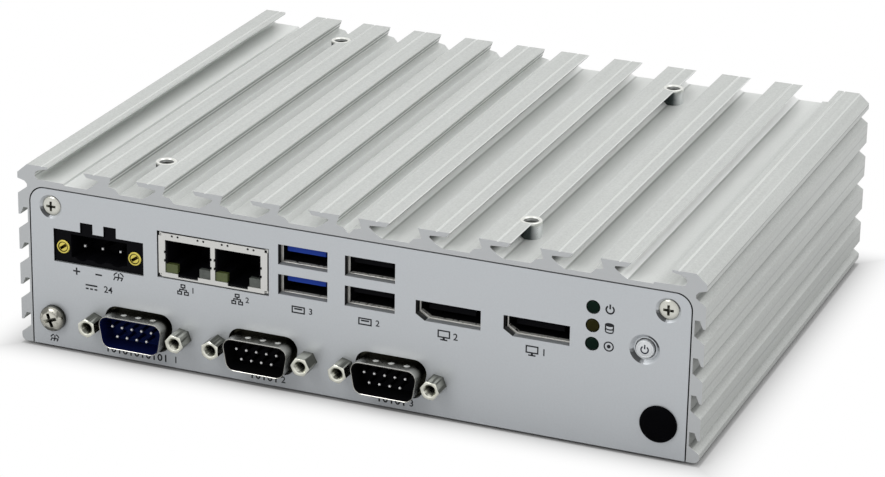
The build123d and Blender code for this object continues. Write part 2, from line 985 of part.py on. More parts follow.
def make_network_wires():
    """Eight sprung contact wires under the ceiling of each opening."""
    top = network_port_z() + network_port_height / 2
    y_start = front + network_wall + network_wire_start
    y_end = y_start + network_wire_length
    size = network_wire_size
    profile = outline(
        (y_start, top), (y_end, top - network_wire_drop), (y_end, top - network_wire_drop - size),
        (y_start, top - size),
    )
    wires = []
    for port in network_port_places():
        for index in range(network_wire_count):
            offset = (index - (network_wire_count - 1) / 2) * network_wire_pitch
            plane = Plane(origin=(port + offset - size / 2, 0, 0), x_dir=(0, 1, 0), z_dir=(1, 0, 0))
            wires.append(extrude(plane * profile, amount=size))
    return group(wires)


def make_usb_shell(x):
    """Shell of a usb pair, behind its two windows."""
    middle = usb_shell_bottom + usb_shell_height / 2
    far = connector_front + usb_shell_depth
    shell = prism(Rectangle(usb_shell_width, usb_shell_height), x, middle, connector_front, far)
    port = Rectangle(usb_port_width, usb_port_height)
    for z in usb_heights():
        shell -= prism(port, x, z, connector_front - 1, connector_front + usb_port_depth)
    return shell


def usb_tongue_z(port_z):
    """Height of the middle of the tongue in a usb opening."""
    return port_z + usb_port_height / 2 - usb_tongue_lift - usb_tongue_height / 2


def make_usb_tongues(x):
    """Two tongues, each fixed at the back of its opening."""
    far = connector_front + usb_port_depth
    tongue = Rectangle(usb_tongue_width, usb_tongue_height)
    return group(
        prism(tongue, x, usb_tongue_z(z), far - usb_tongue_length, far) for z in usb_heights()
    )


def make_usb_contacts(x):
    """Four flat contacts under each tongue."""
    far = connector_front + usb_port_depth
    strips = []
    for port_z in usb_heights():
        under = usb_tongue_z(port_z) - usb_tongue_height / 2
        for index in range(usb_contact_count):
            middle = x + (index - (usb_contact_count - 1) / 2) * usb_contact_pitch
            x_span = (middle - usb_contact_width / 2, middle + usb_contact_width / 2)
            y_span = (far - usb_tongue_length + 1, far - usb_tongue_length + 1 + usb_contact_length)
            strips.append(block(x_span, y_span, (under - usb_contact_thickness, under)))
    return group(strips)


def make_display_shell(x):
    """Shell of one display socket."""
    far = connector_front + display_depth
    outer = display_profile(display_opening_width, display_opening_height, display_wall)
    inner = display_profile(display_opening_width, display_opening_height)
    shell = prism(outer, x, display_z, connector_front, far)
    shell -= prism(inner, x, display_z, connector_front - 1, connector_front + display_opening_depth)
    foot_top = display_z - display_opening_height / 2
    half = display_opening_width / 2 - display_window_chamfer
    shell += block((x - half, x + half), (connector_front + 2, far), (board_top, foot_top))
    return shell


def make_display_tongue(x):
    """Contact tongue of one display socket."""
    far = connector_front + display_opening_depth
    tongue = Rectangle(display_tongue_width, display_tongue_height)
    z = display_z + display_tongue_lift
    return prism(tongue, x, z, far - display_tongue_length, far)


def make_serial_shell(x):
    """Flange behind the panel with the drawn D-shaped shell through its window."""
    flange_far = panel_back + serial_flange_thickness
    flange = Rectangle(serial_flange_width, serial_flange_height)
    shell = prism(flange, x, serial_z, panel_back, flange_far)
    rim = front - serial_proud
    shell += prism(serial_profile(), x, serial_z, rim, flange_far)
    return shell - prism(serial_profile(-serial_shell_wall), x, serial_z, rim - 1, flange_far + 1)


def make_serial_insulator(x):
    """Moulded block in the shell, with a wider rear part behind the flange."""
    face = front + serial_insulator_face
    flange_far = panel_back + serial_flange_thickness
    body = prism(serial_profile(-serial_shell_wall), x, serial_z, face, flange_far)
    half_w = serial_shell_width / 2
    half_h = serial_shell_height / 2
    rear_span = (flange_far, flange_far + serial_insulator_depth)
    return body + block((x - half_w, x + half_w), rear_span, (serial_z - half_h, serial_z + half_h))


def serial_pin_places(x):
    """X and Z of nine pins, five above and four below."""
    places = []
    for count, side in ((5, 1), (4, -1)):
        for index in range(count):
            offset = (index - (count - 1) / 2) * serial_pin_pitch
            places.append((x + offset, serial_z + side * serial_row_pitch / 2))
    return places


def make_serial_pins():
    """Nine pins of each serial port, standing on the face of the insulator."""
    start = front - serial_proud + serial_pin_short
    pin = RegularPolygon(serial_pin_radius, serial_pin_sides)
    pins = []
    for port in serial_columns:
        for x, z in serial_pin_places(port):
            pins.append(prism(pin, x, z, start, front + serial_insulator_face))
    return group(pins)


def serial_board_front():
    """Front face of the board behind the serial ports."""
    return panel_back + serial_flange_thickness + serial_insulator_depth


def make_serial_jackscrews():
    """Hexagonal jackscrews on both sides of each serial port."""
    screws = []
    hexagon = RegularPolygon(serial_jack_flats / 2, 6, major_radius=False)
    for port in serial_columns:
        for side in (-1, 1):
            x = port + side * serial_jack_pitch / 2
            screw = prism(hexagon, x, serial_z, front - serial_jack_proud, front)
            bore_end = front - serial_jack_proud + serial_jack_bore_depth
            bore = Circle(serial_jack_bore_radius)
            screws.append(screw - prism(bore, x, serial_z, front - serial_jack_proud - 1, bore_end))
    return group(screws)


def make_serial_board():
    """Upright board that all three serial ports are soldered to."""
    near = serial_board_front()
    left = serial_columns[0] - serial_flange_width / 2 - serial_board_margin
    right = serial_columns[-1] + serial_flange_width / 2 + serial_board_margin
    return block(
        (left, right), (near, near + serial_board_thickness), (serial_board_bottom, serial_board_top)
    )


def make_board_link():
    """Connector between the serial board and the underside of the main board."""
    near = serial_board_front() + serial_board_thickness
    x = serial_columns[1]
    return block(
        (x - link_width / 2, x + link_width / 2),
        (near, near + link_depth),
        (serial_board_top - link_lap, board_bottom),
    )


def spacer_places():
    """X and Y of the main board's screws."""
    reach = board_half_width - spacer_inset_x
    rows = (board_front + spacer_front_inset, board_rear - spacer_rear_inset)
    return [(side * reach, y) for side in (-1, 1) for y in rows]


def make_main_board():
    """Main circuit board."""
    x_span = (-board_half_width, board_half_width)
    board = block(x_span, (board_front, board_rear), (board_bottom, board_top))
    for x, y in spacer_places():
        board -= upright(shank(board_hole_radius), x, y, board_bottom - 1, board_top + 1)
    return board


def make_spacers():
    """Hexagonal spacers from the base to the main board."""
    hexagon = RegularPolygon(spacer_radius, 6, major_radius=False)
    spacers = []
    for x, y in spacer_places():
        spacer = upright(hexagon, x, y, base_thickness, board_bottom)
        bore = upright(shank(board_screw_radius), x, y, board_bottom - board_screw_reach, board_bottom + 1)
        spacers.append(spacer - bore)
    return group(spacers)


def make_board_screws():
    """Pan-head screws that hold the main board on its spacers."""
    screws = []
    for x, y in spacer_places():
        top = board_top + board_screw_head_height
        head = upright(head_section(board_screw_head_radius, False), x, y, board_top, top)
        end = board_bottom - board_screw_reach
        screws.append(head + upright(shank(board_screw_radius), x, y, end, board_top))
    return group(screws)


def make_processor():
    """Processor package."""
    square = Rectangle(processor_size, processor_size)
    return upright(square, processor_x, processor_y, board_top, board_top + processor_height)


def make_pads():
    """Thermal pads under and over the heat spreader."""
    low = board_top + processor_height
    foot = Rectangle(processor_size, processor_size)
    plate = Rectangle(spreader_width, spreader_length)
    lower = upright(foot, processor_x, processor_y, low, low + pad_thickness)
    upper = upright(plate, processor_x, processor_y, cavity_top - pad_thickness, cavity_top)
    return group([lower, upper])


def make_spreader():
    """Aluminium block that leads the heat up to the housing."""
    low = board_top + processor_height + pad_thickness
    high = cavity_top - pad_thickness
    foot = Rectangle(spreader_foot, spreader_foot)
    plate = Rectangle(spreader_width, spreader_length)
    step = low + spreader_foot_height
    body = upright(foot, processor_x, processor_y, low, step)
    return body + upright(plate, processor_x, processor_y, step, high)


def make_memory_socket():
    """Socket along one edge of the memory module."""
    left = memory_left - memory_socket_lap
    x_span = (left, left + memory_socket_width)
    half = memory_length / 2
    socket = block(
        x_span, (memory_y - half, memory_y + half), (board_top, board_top + memory_socket_height)
    )
    return socket - make_memory_module()


def make_memory_module():
    """Memory module, lying flat over the board."""
    z = board_top + memory_socket_height * 0.6
    half = memory_length / 2 - memory_side_inset
    x_span = (memory_left, memory_left + memory_width)
    card = block(x_span, (memory_y - half, memory_y + half), (z, z + memory_thickness))
    chip_left = memory_left + memory_chip_inset
    chip_x = (chip_left, chip_left + memory_chip_width)
    chip_z = (z, z + memory_thickness + memory_chip_height)
    for index in range(memory_chip_count):
        middle = memory_y + (index - (memory_chip_count - 1) / 2) * memory_chip_pitch
        chip_y = (middle - memory_chip_length / 2, middle + memory_chip_length / 2)
        card += block(chip_x, chip_y, chip_z)
    return card


def make_drive_socket():
    """Edge socket of the drive card."""
    far = drive_y - drive_length / 2 + drive_socket_length
    y_span = (far - drive_socket_length, far)
    x_span = (drive_x - drive_width / 2, drive_x + drive_width / 2)
    socket = block(x_span, y_span, (board_top, board_top + drive_socket_height))
    return socket - make_drive_card()


def make_drive_card():
    """Drive card with its chips, held level by socket and post."""
    z = board_top + drive_socket_height / 2
    near = drive_y - drive_length / 2 + drive_socket_length / 2
    half = drive_width / 2
    x_span = (drive_x - half, drive_x + half)
    card = block(x_span, (near, near + drive_length), (z, z + drive_thickness))
    chip_x = (drive_x - drive_chip_width / 2, drive_x + drive_chip_width / 2)
    chip_z = (z, z + drive_thickness + drive_chip_height)
    for index in range(drive_chip_count):
        start = near + drive_chip_start + index * drive_chip_pitch
        card += block(chip_x, (start, start + drive_chip_length), chip_z)
    return card


def make_drive_post():
    """Post under the free end of the drive card."""
    y = drive_y - drive_length / 2 + drive_socket_length / 2 + drive_length - drive_post_inset
    hexagon = RegularPolygon(drive_post_radius, 6, major_radius=False)
    return upright(hexagon, drive_x, y, board_top, board_top + drive_socket_height / 2)


def make_cell_holder():
    """Bar with an end stop at both sides of the coin cell."""
    floor = board_top + holder_floor
    half = cell_radius + holder_floor
    y_span = (cell_y - holder_width / 2, cell_y + holder_width / 2)
    bar = block((cell_x - half, cell_x + half), y_span, (board_top, floor + cell_height))
    return bar - block((cell_x - cell_radius, cell_x + cell_radius), y_span, (floor, floor + 2 * cell_height))


def make_coin_cell():
    """Coin cell."""
    floor = board_top + holder_floor
    disc = RegularPolygon(cell_radius, 2 * head_sides)
    return upright(disc, cell_x, cell_y, floor, floor + cell_height)


def make_coils():
    """Row of square coils behind the power header."""
    coil = Rectangle(coil_size, coil_size)
    y = front + coil_front_gap
    return group(
        upright(coil, coil_start_x + index * coil_pitch, y, board_top, board_top + coil_height)
        for index in range(coil_count)
    )


def make_capacitors():
    """Row of round capacitors."""
    can = RegularPolygon(capacitor_radius, head_sides)
    y = front + capacitor_front_gap
    top = board_top + capacitor_height
    return group(
        upright(can, capacitor_start_x + index * capacitor_pitch, y, board_top, top)
        for index in range(capacitor_count)
    )


def make_nodes():
    """Every piece of the computer by its node name."""
    heights = light_heights()
    blue_insulator, *black_insulators = [make_serial_insulator(x) for x in serial_columns]
    return {
        "housing": make_housing(),
        "front_panel": make_front_panel(),
        "rear_panel": make_rear_panel(),
        "base_plate": make_base(),
        "front_panel_screws": make_front_panel_screws(),
        "rear_panel_screws": make_rear_panel_screws(),
        "base_screws": make_base_screws(),
        "ground_screw": make_ground_screw(),
        "mounting_pillars": make_pillars(),
        "hole_plug": make_plug(),
        "power_button": make_button(),
        "button_switch": make_switch(),
        "status_lights_green": group([make_light(heights[0]), make_light(heights[2])]),
        "status_light_amber": make_light(heights[1]),
        "light_carrier": make_light_carrier(),
        "power_header": make_power_header(),
        "power_header_pins": make_header_pins(),
        "power_header_inserts": make_header_inserts(),
        "network_shield": make_network_shield(),
        "network_body": make_network_body(),
        "network_lights_green": make_network_lights(0),
        "network_lights_clear": make_network_lights(1),
        "network_wires": make_network_wires(),
        "usb_blue_shell": make_usb_shell(usb_blue_x),
        "usb_blue_tongues": make_usb_tongues(usb_blue_x),
        "usb_black_shell": make_usb_shell(usb_black_x),
        "usb_black_tongues": make_usb_tongues(usb_black_x),
        "usb_contacts": group([make_usb_contacts(usb_blue_x), make_usb_contacts(usb_black_x)]),
        "display_shells": group(make_display_shell(x) for x in display_columns),
        "display_tongues": group(make_display_tongue(x) for x in display_columns),
        "serial_shells": group(make_serial_shell(x) for x in serial_columns),
        "serial_insulator_blue": blue_insulator,
        "serial_insulators_black": group(black_insulators),
        "serial_pins": make_serial_pins(),
        "serial_jackscrews": make_serial_jackscrews(),
        "serial_board": make_serial_board(),
        "board_link": make_board_link(),
        "main_board": make_main_board(),
        "board_spacers": make_spacers(),
        "board_screws": make_board_screws(),
        "processor": make_processor(),
        "thermal_pads": make_pads(),
        "heat_spreader": make_spreader(),
        "memory_socket": make_memory_socket(),
        "memory_module": make_memory_module(),
        "drive_socket": make_drive_socket(),
        "drive_card": make_drive_card(),
        "drive_post": make_drive_post(),
        "coin_cell_holder": make_cell_holder(),
        "coin_cell": make_coin_cell(),
        "coils": make_coils(),
        "capacitors": make_capacitors(),
    }


os.makedirs("parts", exist_ok=True)
for node_name, shape in make_nodes().items():
    export_step(shape, f"parts/{node_name}.step")
    print(node_name, len(shape.solids()), "solids")
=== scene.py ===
"""Looks of the fanless industrial pc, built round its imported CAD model.

Every sub-assembly is a class that holds its sizes in millimetres, makes its meshes
and dresses them. A face of the case is described by a Seat: u runs to the right and
v runs up as the face is looked at, and w stands out of it.
"""

import logging
import math
from dataclasses import asdict, dataclass, field
from enum import Enum
from typing import Mapping, Optional, Sequence, Union

import bmesh
import bpy
from mathutils import Matrix, Vector


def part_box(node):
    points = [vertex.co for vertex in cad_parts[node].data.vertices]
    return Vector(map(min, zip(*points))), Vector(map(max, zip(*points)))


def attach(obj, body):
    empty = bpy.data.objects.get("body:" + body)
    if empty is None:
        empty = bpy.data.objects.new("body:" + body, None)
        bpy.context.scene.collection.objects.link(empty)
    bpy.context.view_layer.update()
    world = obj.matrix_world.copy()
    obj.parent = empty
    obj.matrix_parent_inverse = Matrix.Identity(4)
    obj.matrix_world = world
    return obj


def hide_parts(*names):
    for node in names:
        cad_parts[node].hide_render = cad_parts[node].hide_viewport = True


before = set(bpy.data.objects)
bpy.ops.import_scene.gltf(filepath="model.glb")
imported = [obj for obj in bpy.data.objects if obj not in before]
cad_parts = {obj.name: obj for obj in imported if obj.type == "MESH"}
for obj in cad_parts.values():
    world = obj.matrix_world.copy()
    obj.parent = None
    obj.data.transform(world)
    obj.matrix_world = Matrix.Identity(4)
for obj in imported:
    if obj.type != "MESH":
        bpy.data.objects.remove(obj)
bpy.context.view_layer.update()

MM = 0.001
LOG = logging.getLogger("scene")

Color = tuple[float, float, float]
Point2 = tuple[float, float]
Point3 = tuple[float, float, float]
Loop2 = list[Point2]
Loop3 = list[Point3]

SHADE: Color = (0.0, 0.0, 0.0)


class Body(Enum):
    """Bodies that a piece can ride on."""

    CASE = "case"
    BUTTON = "button"


class Slot(Enum):
    """Material slots of the record, passed with the scene's own pieces but not used by them."""

    PANELS = "panels"
    FASTENERS = "fasteners"
    TINNED = "tinned"
    BRASS = "brass"
    BLACK = "black_plastic"
    BLUE = "blue_plastic"
    GREEN_LIGHT = "light_green"
    AMBER_LIGHT = "light_amber"


# Shader layer


class Value:
    """A number that a shader works out, with the arithmetic that the finishes use."""

    def __init__(self, graph: "Graph", socket: bpy.types.NodeSocket) -> None:
        """Wrap one output socket of a graph."""
        self.graph = graph
        self.socket = socket

    def _math(self, operation: str, *terms: Union[float, "Value"]) -> "Value":
        """Math node of this operation on the terms."""
        inputs = dict(enumerate(terms))
        return self.graph.value("ShaderNodeMath", 0, {"operation": operation}, inputs)

    def __add__(self, other: Union[float, "Value"]) -> "Value":
        """This value plus the other."""
        return self._math("ADD", self, other)

    __radd__ = __add__

    def __sub__(self, other: Union[float, "Value"]) -> "Value":
        """This value less the other."""
        return self._math("SUBTRACT", self, other)

    def __rsub__(self, other: float) -> "Value":
        """The other less this value."""
        return self._math("SUBTRACT", other, self)

    def __mul__(self, other: Union[float, "Value"]) -> "Value":
        """This value times the other."""
        return self._math("MULTIPLY", self, other)

    __rmul__ = __mul__

    def __abs__(self) -> "Value":
        """Size of this value without its sign."""
        return self._math("ABSOLUTE", self)

    def fraction(self) -> "Value":
        """Part of this value after its point."""
        return self._math("FRACT", self)

    def at_least(self, other: Union[float, "Value"]) -> "Value":
        """The greater of this value and the other."""
        return self._math("MAXIMUM", self, other)

    def within(self, low: float, high: float, soft: float = 0.05) -> "Value":
        """Mask that is 1 between two lengths and 0 outside them.

        Args:
            low: Lower length in millimetres.
            high: Upper length in millimetres.
            soft: Width in millimetres of its edges.

        Returns:
            The mask.
        """
        rise = self.step(low * MM, (low + soft) * MM)
        return rise * (1.0 - self.step((high - soft) * MM, high * MM))

    def step(self, low: float, high: float) -> "Value":
        """Ramp from 0 where this value is low to 1 where it is high.

        Args:
            low: Value that gives 0.
            high: Value that gives 1.

        Returns:
            The clamped ramp.
        """
        inputs = {"Value": self, "From Min": low, "From Max": high}
        return self.graph.value("ShaderNodeMapRange", 0, {"clamp": True}, inputs)


class Graph:
    """Node tree that is filled node by node."""

    def __init__(self, tree: bpy.types.NodeTree) -> None:
        """Empty the tree and keep it."""
        self.tree = tree
        tree.nodes.clear()

    def node(
        self,
        kind: str,
        settings: Optional[Mapping[str, object]] = None,
        inputs: Optional[Mapping[Union[str, int], object]] = None,
    ) -> bpy.types.Node:
        """Make a node, set it up and feed its sockets.

        Args:
            kind: Blender's name of the node type.
            settings: Properties of the node, set before its sockets.
            inputs: Values or links by socket name or number.

        Returns:
            The new node.
        """
        made = self.tree.nodes.new(kind)
        for name, setting in (settings or {}).items():
            setattr(made, name, setting)
        for key, given in (inputs or {}).items():
            socket = made.inputs[key]
            source = given.socket if isinstance(given, Value) else given
            if isinstance(source, bpy.types.NodeSocket):
                self.tree.links.new(source, socket)
            else:
                socket.default_value = source
        return made

    def value(
        self,
        kind: str,
        output: Union[str, int],
        settings: Optional[Mapping[str, object]] = None,
        inputs: Optional[Mapping[Union[str, int], object]] = None,
    ) -> Value:
        """Make a node and wrap one of its outputs.

        Args:
            kind: Blender's name of the node type.
            output: Name or number of the output.
            settings: Properties of the node.
            inputs: Values or links by socket name or number.

        Returns:
            The wrapped output.
        """
        return Value(self, self.node(kind, settings, inputs).outputs[output])

    def place(self, stretch: Point3 = (1.0, 1.0, 1.0)) -> bpy.types.NodeSocket:
        """Place of a surface point in the case's own frame, stretched along each axis.

        Args:
            stretch: Factors along X, Y and Z.

        Returns:
            The vector's socket.
        """
        there = self.node("ShaderNodeTexCoord").outputs["Object"]
        if stretch == (1.0, 1.0, 1.0):
            return there
        scaled = self.node("ShaderNodeVectorMath", {"operation": "MULTIPLY"}, {0: there, 1: stretch})
        return scaled.outputs[0]

    def axis(self, vector: bpy.types.NodeSocket, name: str) -> Value:
        """One coordinate, X, Y or Z, of a vector."""
        return self.value("ShaderNodeSeparateXYZ", name, None, {0: vector})

    def normal(self, smooth: bool = False) -> bpy.types.NodeSocket:
        """Direction of the surface, that of the flat face or smoothed over the faces."""
        return self.node("ShaderNodeNewGeometry").outputs["Normal" if smooth else "True Normal"]

    def noise(self, size: float, detail: float = 2.0, stretch: Point3 = (1.0, 1.0, 1.0)) -> Value:
        """Smooth noise between 0 and 1.

        Args:
            size: Size of its blotches in millimetres.
            detail: Octaves of finer noise.
            stretch: Factors along X, Y and Z.

        Returns:
            The noise.
        """
        inputs = {"Vector": self.place(stretch), "Scale": 1.0 / (size * MM), "Detail": detail}
        return self.value("ShaderNodeTexNoise", "Fac", None, inputs)

    def tint(self, mask: Value, first: Union[Color, Value], second: Union[Color, Value]) -> Value:
        """Colour that goes from the first to the second with a mask.

        Args:
            mask: 0 for the first colour and 1 for the second.
            first: Colour where the mask is 0.
            second: Colour where the mask is 1.

        Returns:
            The mixed colour.
        """
        sides = [(*side, 1.0) if isinstance(side, tuple) else side for side in (first, second)]
        inputs = {0: mask, 6: sides[0], 7: sides[1]}
        return self.value("ShaderNodeMix", 2, {"data_type": "RGBA"}, inputs)

    def bump(self, height: Value, depth: float) -> bpy.types.NodeSocket:
        """Normal bent by a height map.

        Args:
            height: Height between 0 and 1.
            depth: Depth in millimetres of a step from 0 to 1.

        Returns:
            The normal's socket.
        """
        inputs = {"Height": height, "Distance": depth * MM, "Strength": 1.0}
        return self.node("ShaderNodeBump", None, inputs).outputs["Normal"]


def shade(color: Color, factor: float) -> Color:
    """The colour made lighter or darker by a factor."""
    return tuple(min(1.0, channel * factor) for channel in color)


@dataclass(frozen=True)
class Finish:
    """A surface: a base colour with soft blotches, a fine grain and an even gloss."""

    name: str
    color: Color
    roughness: float
    metallic: float = 0.0
    blotch_size: float = 20.0
    blotch: float = 0.04
    grain_size: float = 0.3
    grain_depth: float = 0.01
    gloss_change: float = 0.08
    specular: float = 0.5
    speckle: float = 0.0
    speckle_size: float = 0.5

    def color_of(self, graph: Graph) -> Value:
        """Base colour over the surface.

        Args:
            graph: Node tree of the material.

        Returns:
            The colour.
        """
        mask = graph.noise(self.blotch_size, 3.0)
        change = self.blotch
        if self.speckle:
            change += self.speckle
            share = self.speckle / change
            mask = mask * (1 - share) + graph.noise(self.speckle_size, 1.0) * share
        return graph.tint(mask, shade(self.color, 1 - change), shade(self.color, 1 + change))

    def roughness_of(self, graph: Graph) -> Value:
        """Roughness over the surface."""
        change = (graph.noise(self.grain_size * 4, 2.0) - 0.5) * (2 * self.gloss_change)
        return (change + self.roughness).at_least(0.03)

    def normal_of(self, graph: Graph) -> bpy.types.NodeSocket:
        """Normal over the surface, bent by the grain."""
        return graph.bump(graph.noise(self.grain_size, 2.0), self.grain_depth)

    def extras(self, graph: Graph) -> dict[str, object]:
        """Further sockets of the shader."""
        return {}

    def become(self, kind: type["Finish"], name: str, **changes: object) -> "Finish":
        """This finish as another kind of finish, with some values changed.

        Args:
            kind: Class of the new finish.
            name: Its name.
            changes: Values that differ from this finish, or that it lacks.

        Returns:
            The new finish.
        """
        return kind(**{**asdict(self), "name": name, **changes})

    def material(self) -> bpy.types.Material:
        """The finish as a material, made once.

        Returns:
            The material.
        """
        made = bpy.data.materials.get(self.name)
        if made is not None:
            return made
        made = bpy.data.materials.new(self.name)
        made.use_nodes = True
        graph = Graph(made.node_tree)
        inputs: dict[str, object] = {
            "Base Color": self.color_of(graph),
            "Roughness": self.roughness_of(graph),
            "Normal": self.normal_of(graph),
            "Metallic": self.metallic,
            "Specular IOR Level": self.specular,
        }
        inputs.update(self.extras(graph))
        shader = graph.node("ShaderNodeBsdfPrincipled", None, inputs)
        graph.node("ShaderNodeOutputMaterial", None, {"Surface": shader.outputs[0]})
        made.diffuse_color = (*self.color, 1.0)
        return made


@dataclass(frozen=True)
class ExtrudedAluminium(Finish):
    """Blasted and anodised aluminium, with painted light and shade set for each part of the extrusion.

    Draw lines run along its length. Sizes are in millimetres from the middle of the
    underside, shares are between 0 and 1, and what is said of a fin's lip, foot and
    pocket goes for the top fins. The lips of the right half point to the right.
    """

    end_color: Color = (0.5, 0.515, 0.525)
    # Painted shade inside the case, and painted light in the pockets, on bands, edges and feet.
    inner_shade_color: Color = (0.02, 0.02, 0.022)
    painted_light_color: Color = (0.86, 0.88, 0.86)
    foot_light_color: Color = (0.96, 0.97, 0.96)
    line_size: float = 0.9
    line: float = 0.3
    half_length: float = 72.45
    wall_x: float = 89.9
    inner_x: float = 89.5
    inner_top: float = 43.8
    side_top: float = 46.3
    # Share of painted shade at the roots of the side fins.
    root_groove_shade: float = 0.42
    root_reach: float = 1.0
    tip_x: float = 92.4
    tip_low: float = 6.0
    tip_high: float = 41.0
    tip_line_z: float = 38.1
    tip_line_pitch: float = 9.75
    tip_line_width: float = 0.6
    tip_line: float = 0.14
    fin_pitch: float = 15.92
    lip_end: float = 10.95
    lip_bottom: float = 48.1
    # Painted shade under the lips, painted highlights on the rims and shares of painted light in the
    # pockets.
    lip_shade: float = 0.8
    rim_width: float = 0.42
    under: float = 0.75
    under_reach: float = 6.5
    next_fin: float = 9.5
    open_pocket_light: float = 0.08
    far_pocket_light: float = 0.35
    corner_pocket_light: float = 0.3
    corner_pocket_x: float = 73.0
    corner_x: float = 85.0
    chamfer_x: float = 88.0
    pocket_floor: float = 44.0
    pocket_top: float = 48.8
    deep_z: float = 46.0
    deep_shade: float = 0.8
    # Painted light on the foot slopes, a painted shade line past each foot and painted shade deep beside the
    # next fin.
    foot_x: float = 8.95
    foot_z: float = 44.95
    foot_height: float = 2.3
    foot_shade_line: float = 0.25
    # Bands of painted shade and painted highlight on the flanks.
    flank: float = 0.4
    flank_z: float = 46.0
    band_highlight: float = 0.6
    band_pitch: float = 1.1
    # Painted highlights on the broken edges.
    edge: float = 0.45
    edge_z: float = 48.9

    def color_of(self, graph: Graph) -> Value:
        """Base colour over the extrusion.

        Args:
            graph: Node tree of the material.

        Returns:
            The colour.
        """
        place = graph.place()
        x, y, z = (abs(graph.axis(place, name)) for name in "XYZ")
        right = graph.axis(place, "X").step(-0.01, 0.01)
        fleck = graph.noise(self.speckle_size, 1.0)
        lines = graph.noise(self.line_size, 4.0, (1.0, 0.012, 1.0))
        mix = graph.noise(self.blotch_size, 3.0) * 0.1 + lines * 0.35 + fleck * 0.55
        skin = graph.tint(mix, shade(self.color, 1 - self.line), shade(self.color, 1 + self.line))
        skin = self.sides(graph, skin, x, z)
        skin = self.pockets(graph, skin, x, z, right)
        skin = self.edges(graph, skin, x, z, right)
        cut = abs(graph.axis(graph.normal(), "Y")).step(0.7, 0.9)
        skin = graph.tint(cut, skin, self.end_color)
        # Painted shade: the walls inside the case are painted nearly black.
        wall = 1.0 - x.step(self.inner_x * MM, (self.inner_x + 0.1) * MM)
        middle = 1.0 - y.step((self.half_length - 0.05) * MM, self.half_length * MM)
        return graph.tint(wall * z.within(0.3, self.inner_top) * middle, skin, self.inner_shade_color)

    def sides(self, graph: Graph, skin: Value, x: Value, z: Value) -> Value:
        """Colour with painted shade at the roots and dark lines on the tips of the side fins.

        Args:
            graph: Node tree of the material.
            skin: Colour so far.
            x: Distance from the middle plane.
            z: Height.

        Returns:
            The colour.
        """
        low = 1.0 - z.step(self.side_top * MM, (self.side_top + 0.3) * MM)
        # Painted shade in the crease at the root of each side fin.
        root = x.within(self.wall_x - 0.3, self.wall_x + self.root_reach, 0.3) * low * self.root_groove_shade
        # Every line lies where the count of pitches ends in a half.
        pitches = (z - self.tip_line_z * MM) * (1.0 / (self.tip_line_pitch * MM)) + 4.5
        half = self.tip_line_width / self.tip_line_pitch / 2
        near = 1.0 - abs(pitches.fraction() - 0.5).step(half * 0.6, half)
        tip = x.step(self.tip_x * MM, (self.tip_x + 0.1) * MM) * z.within(self.tip_low, self.tip_high)
        return graph.tint(root + tip * near * self.tip_line, skin, SHADE)

    def past(self, x: Value, start: float) -> Value:
        """Distance in millimetres past a place that every top fin has, first at the start."""
        return ((x - start * MM) * (1.0 / (self.fin_pitch * MM))).fraction() * self.fin_pitch

    def pockets(self, graph: Graph, skin: Value, x: Value, z: Value, right: Value) -> Value:
        """Colour with painted light in the pockets between the top fins and on the foot slopes, and painted
        shade in their depth and in a line past each foot.

        Args:
            graph: Node tree of the material.
            skin: Colour so far.
            x: Distance from the middle plane.
            z: Height.
            right: 1 on the right half and 0 on the left.

        Returns:
            The colour.
        """
        up = graph.axis(graph.normal(), "Z")
        pocket = z.within(self.pocket_floor, self.pocket_top, 0.6)
        pocket = pocket * (1.0 - x.step(self.chamfer_x * MM, (self.chamfer_x + 0.5) * MM))
        past = self.past(x, self.lip_end)
        # Painted light in the pockets: on the right half strongest under each lip, on the left half even and
        # stronger towards the corner.
        under = 1.0 - past.step(0.0, self.under_reach) + past.step(self.next_fin, self.next_fin + 1.0)
        corner = x.within(self.corner_pocket_x, self.chamfer_x, 4.0) * self.corner_pocket_light + self.far_pocket_light
        pale = (under * self.under + self.open_pocket_light) * right + (1.0 - right) * corner
        skin = graph.tint(pocket * pale, skin, self.painted_light_color)
        skin = self.flanks(graph, skin, z)
        inner = right * (1.0 - x.step(self.corner_x * MM, (self.corner_x + 1.0) * MM))
        # Painted light on the foot slopes of the right half.
        slope = z.within(self.foot_z, self.foot_z + self.foot_height)
        slope = slope * up.step(0.1, 0.2) * (1.0 - up.step(0.9, 0.99))
        skin = graph.tint(slope * inner, skin, self.foot_light_color)
        # Painted shade deep in the pocket beside the next fin.
        reach = right * (1.0 - x.step((self.chamfer_x - 0.5) * MM, self.chamfer_x * MM))
        beside = past.step(self.next_fin - 0.1, self.next_fin + 0.1)
        deep = z.within(self.deep_z, self.lip_bottom + 0.05, 0.9) * beside * reach
        skin = graph.tint(deep * self.deep_shade, skin, SHADE)
        # Painted shade: a dark line past each foot.
        lap = self.past(x, self.foot_x)
        line = lap.step(0.0, 0.1) * (1.0 - lap.step(0.4, 0.8)) * pocket * right
        return graph.tint(line * self.foot_shade_line, skin, SHADE)

    def flanks(self, graph: Graph, skin: Value, z: Value) -> Value:
        """Colour with bands of painted highlight and painted shade on the flanks that face right.

        Args:
            graph: Node tree of the material.
            skin: Colour so far.
            z: Height.

        Returns:
            The colour.
        """
        flank = graph.axis(graph.normal(), "X").step(0.75, 0.95)
        flank = flank * z.step(self.flank_z * MM, (self.flank_z + 0.4) * MM)
        # Pale bands are painted highlight, dark bands painted shade.
        band = abs((z * (1.0 / (self.band_pitch * MM))).fraction() - 0.5).step(0.15, 0.3)
        skin = graph.tint(flank * (1.0 - band) * self.band_highlight, skin, self.painted_light_color)
        return graph.tint(flank * band * self.flank, skin, SHADE)

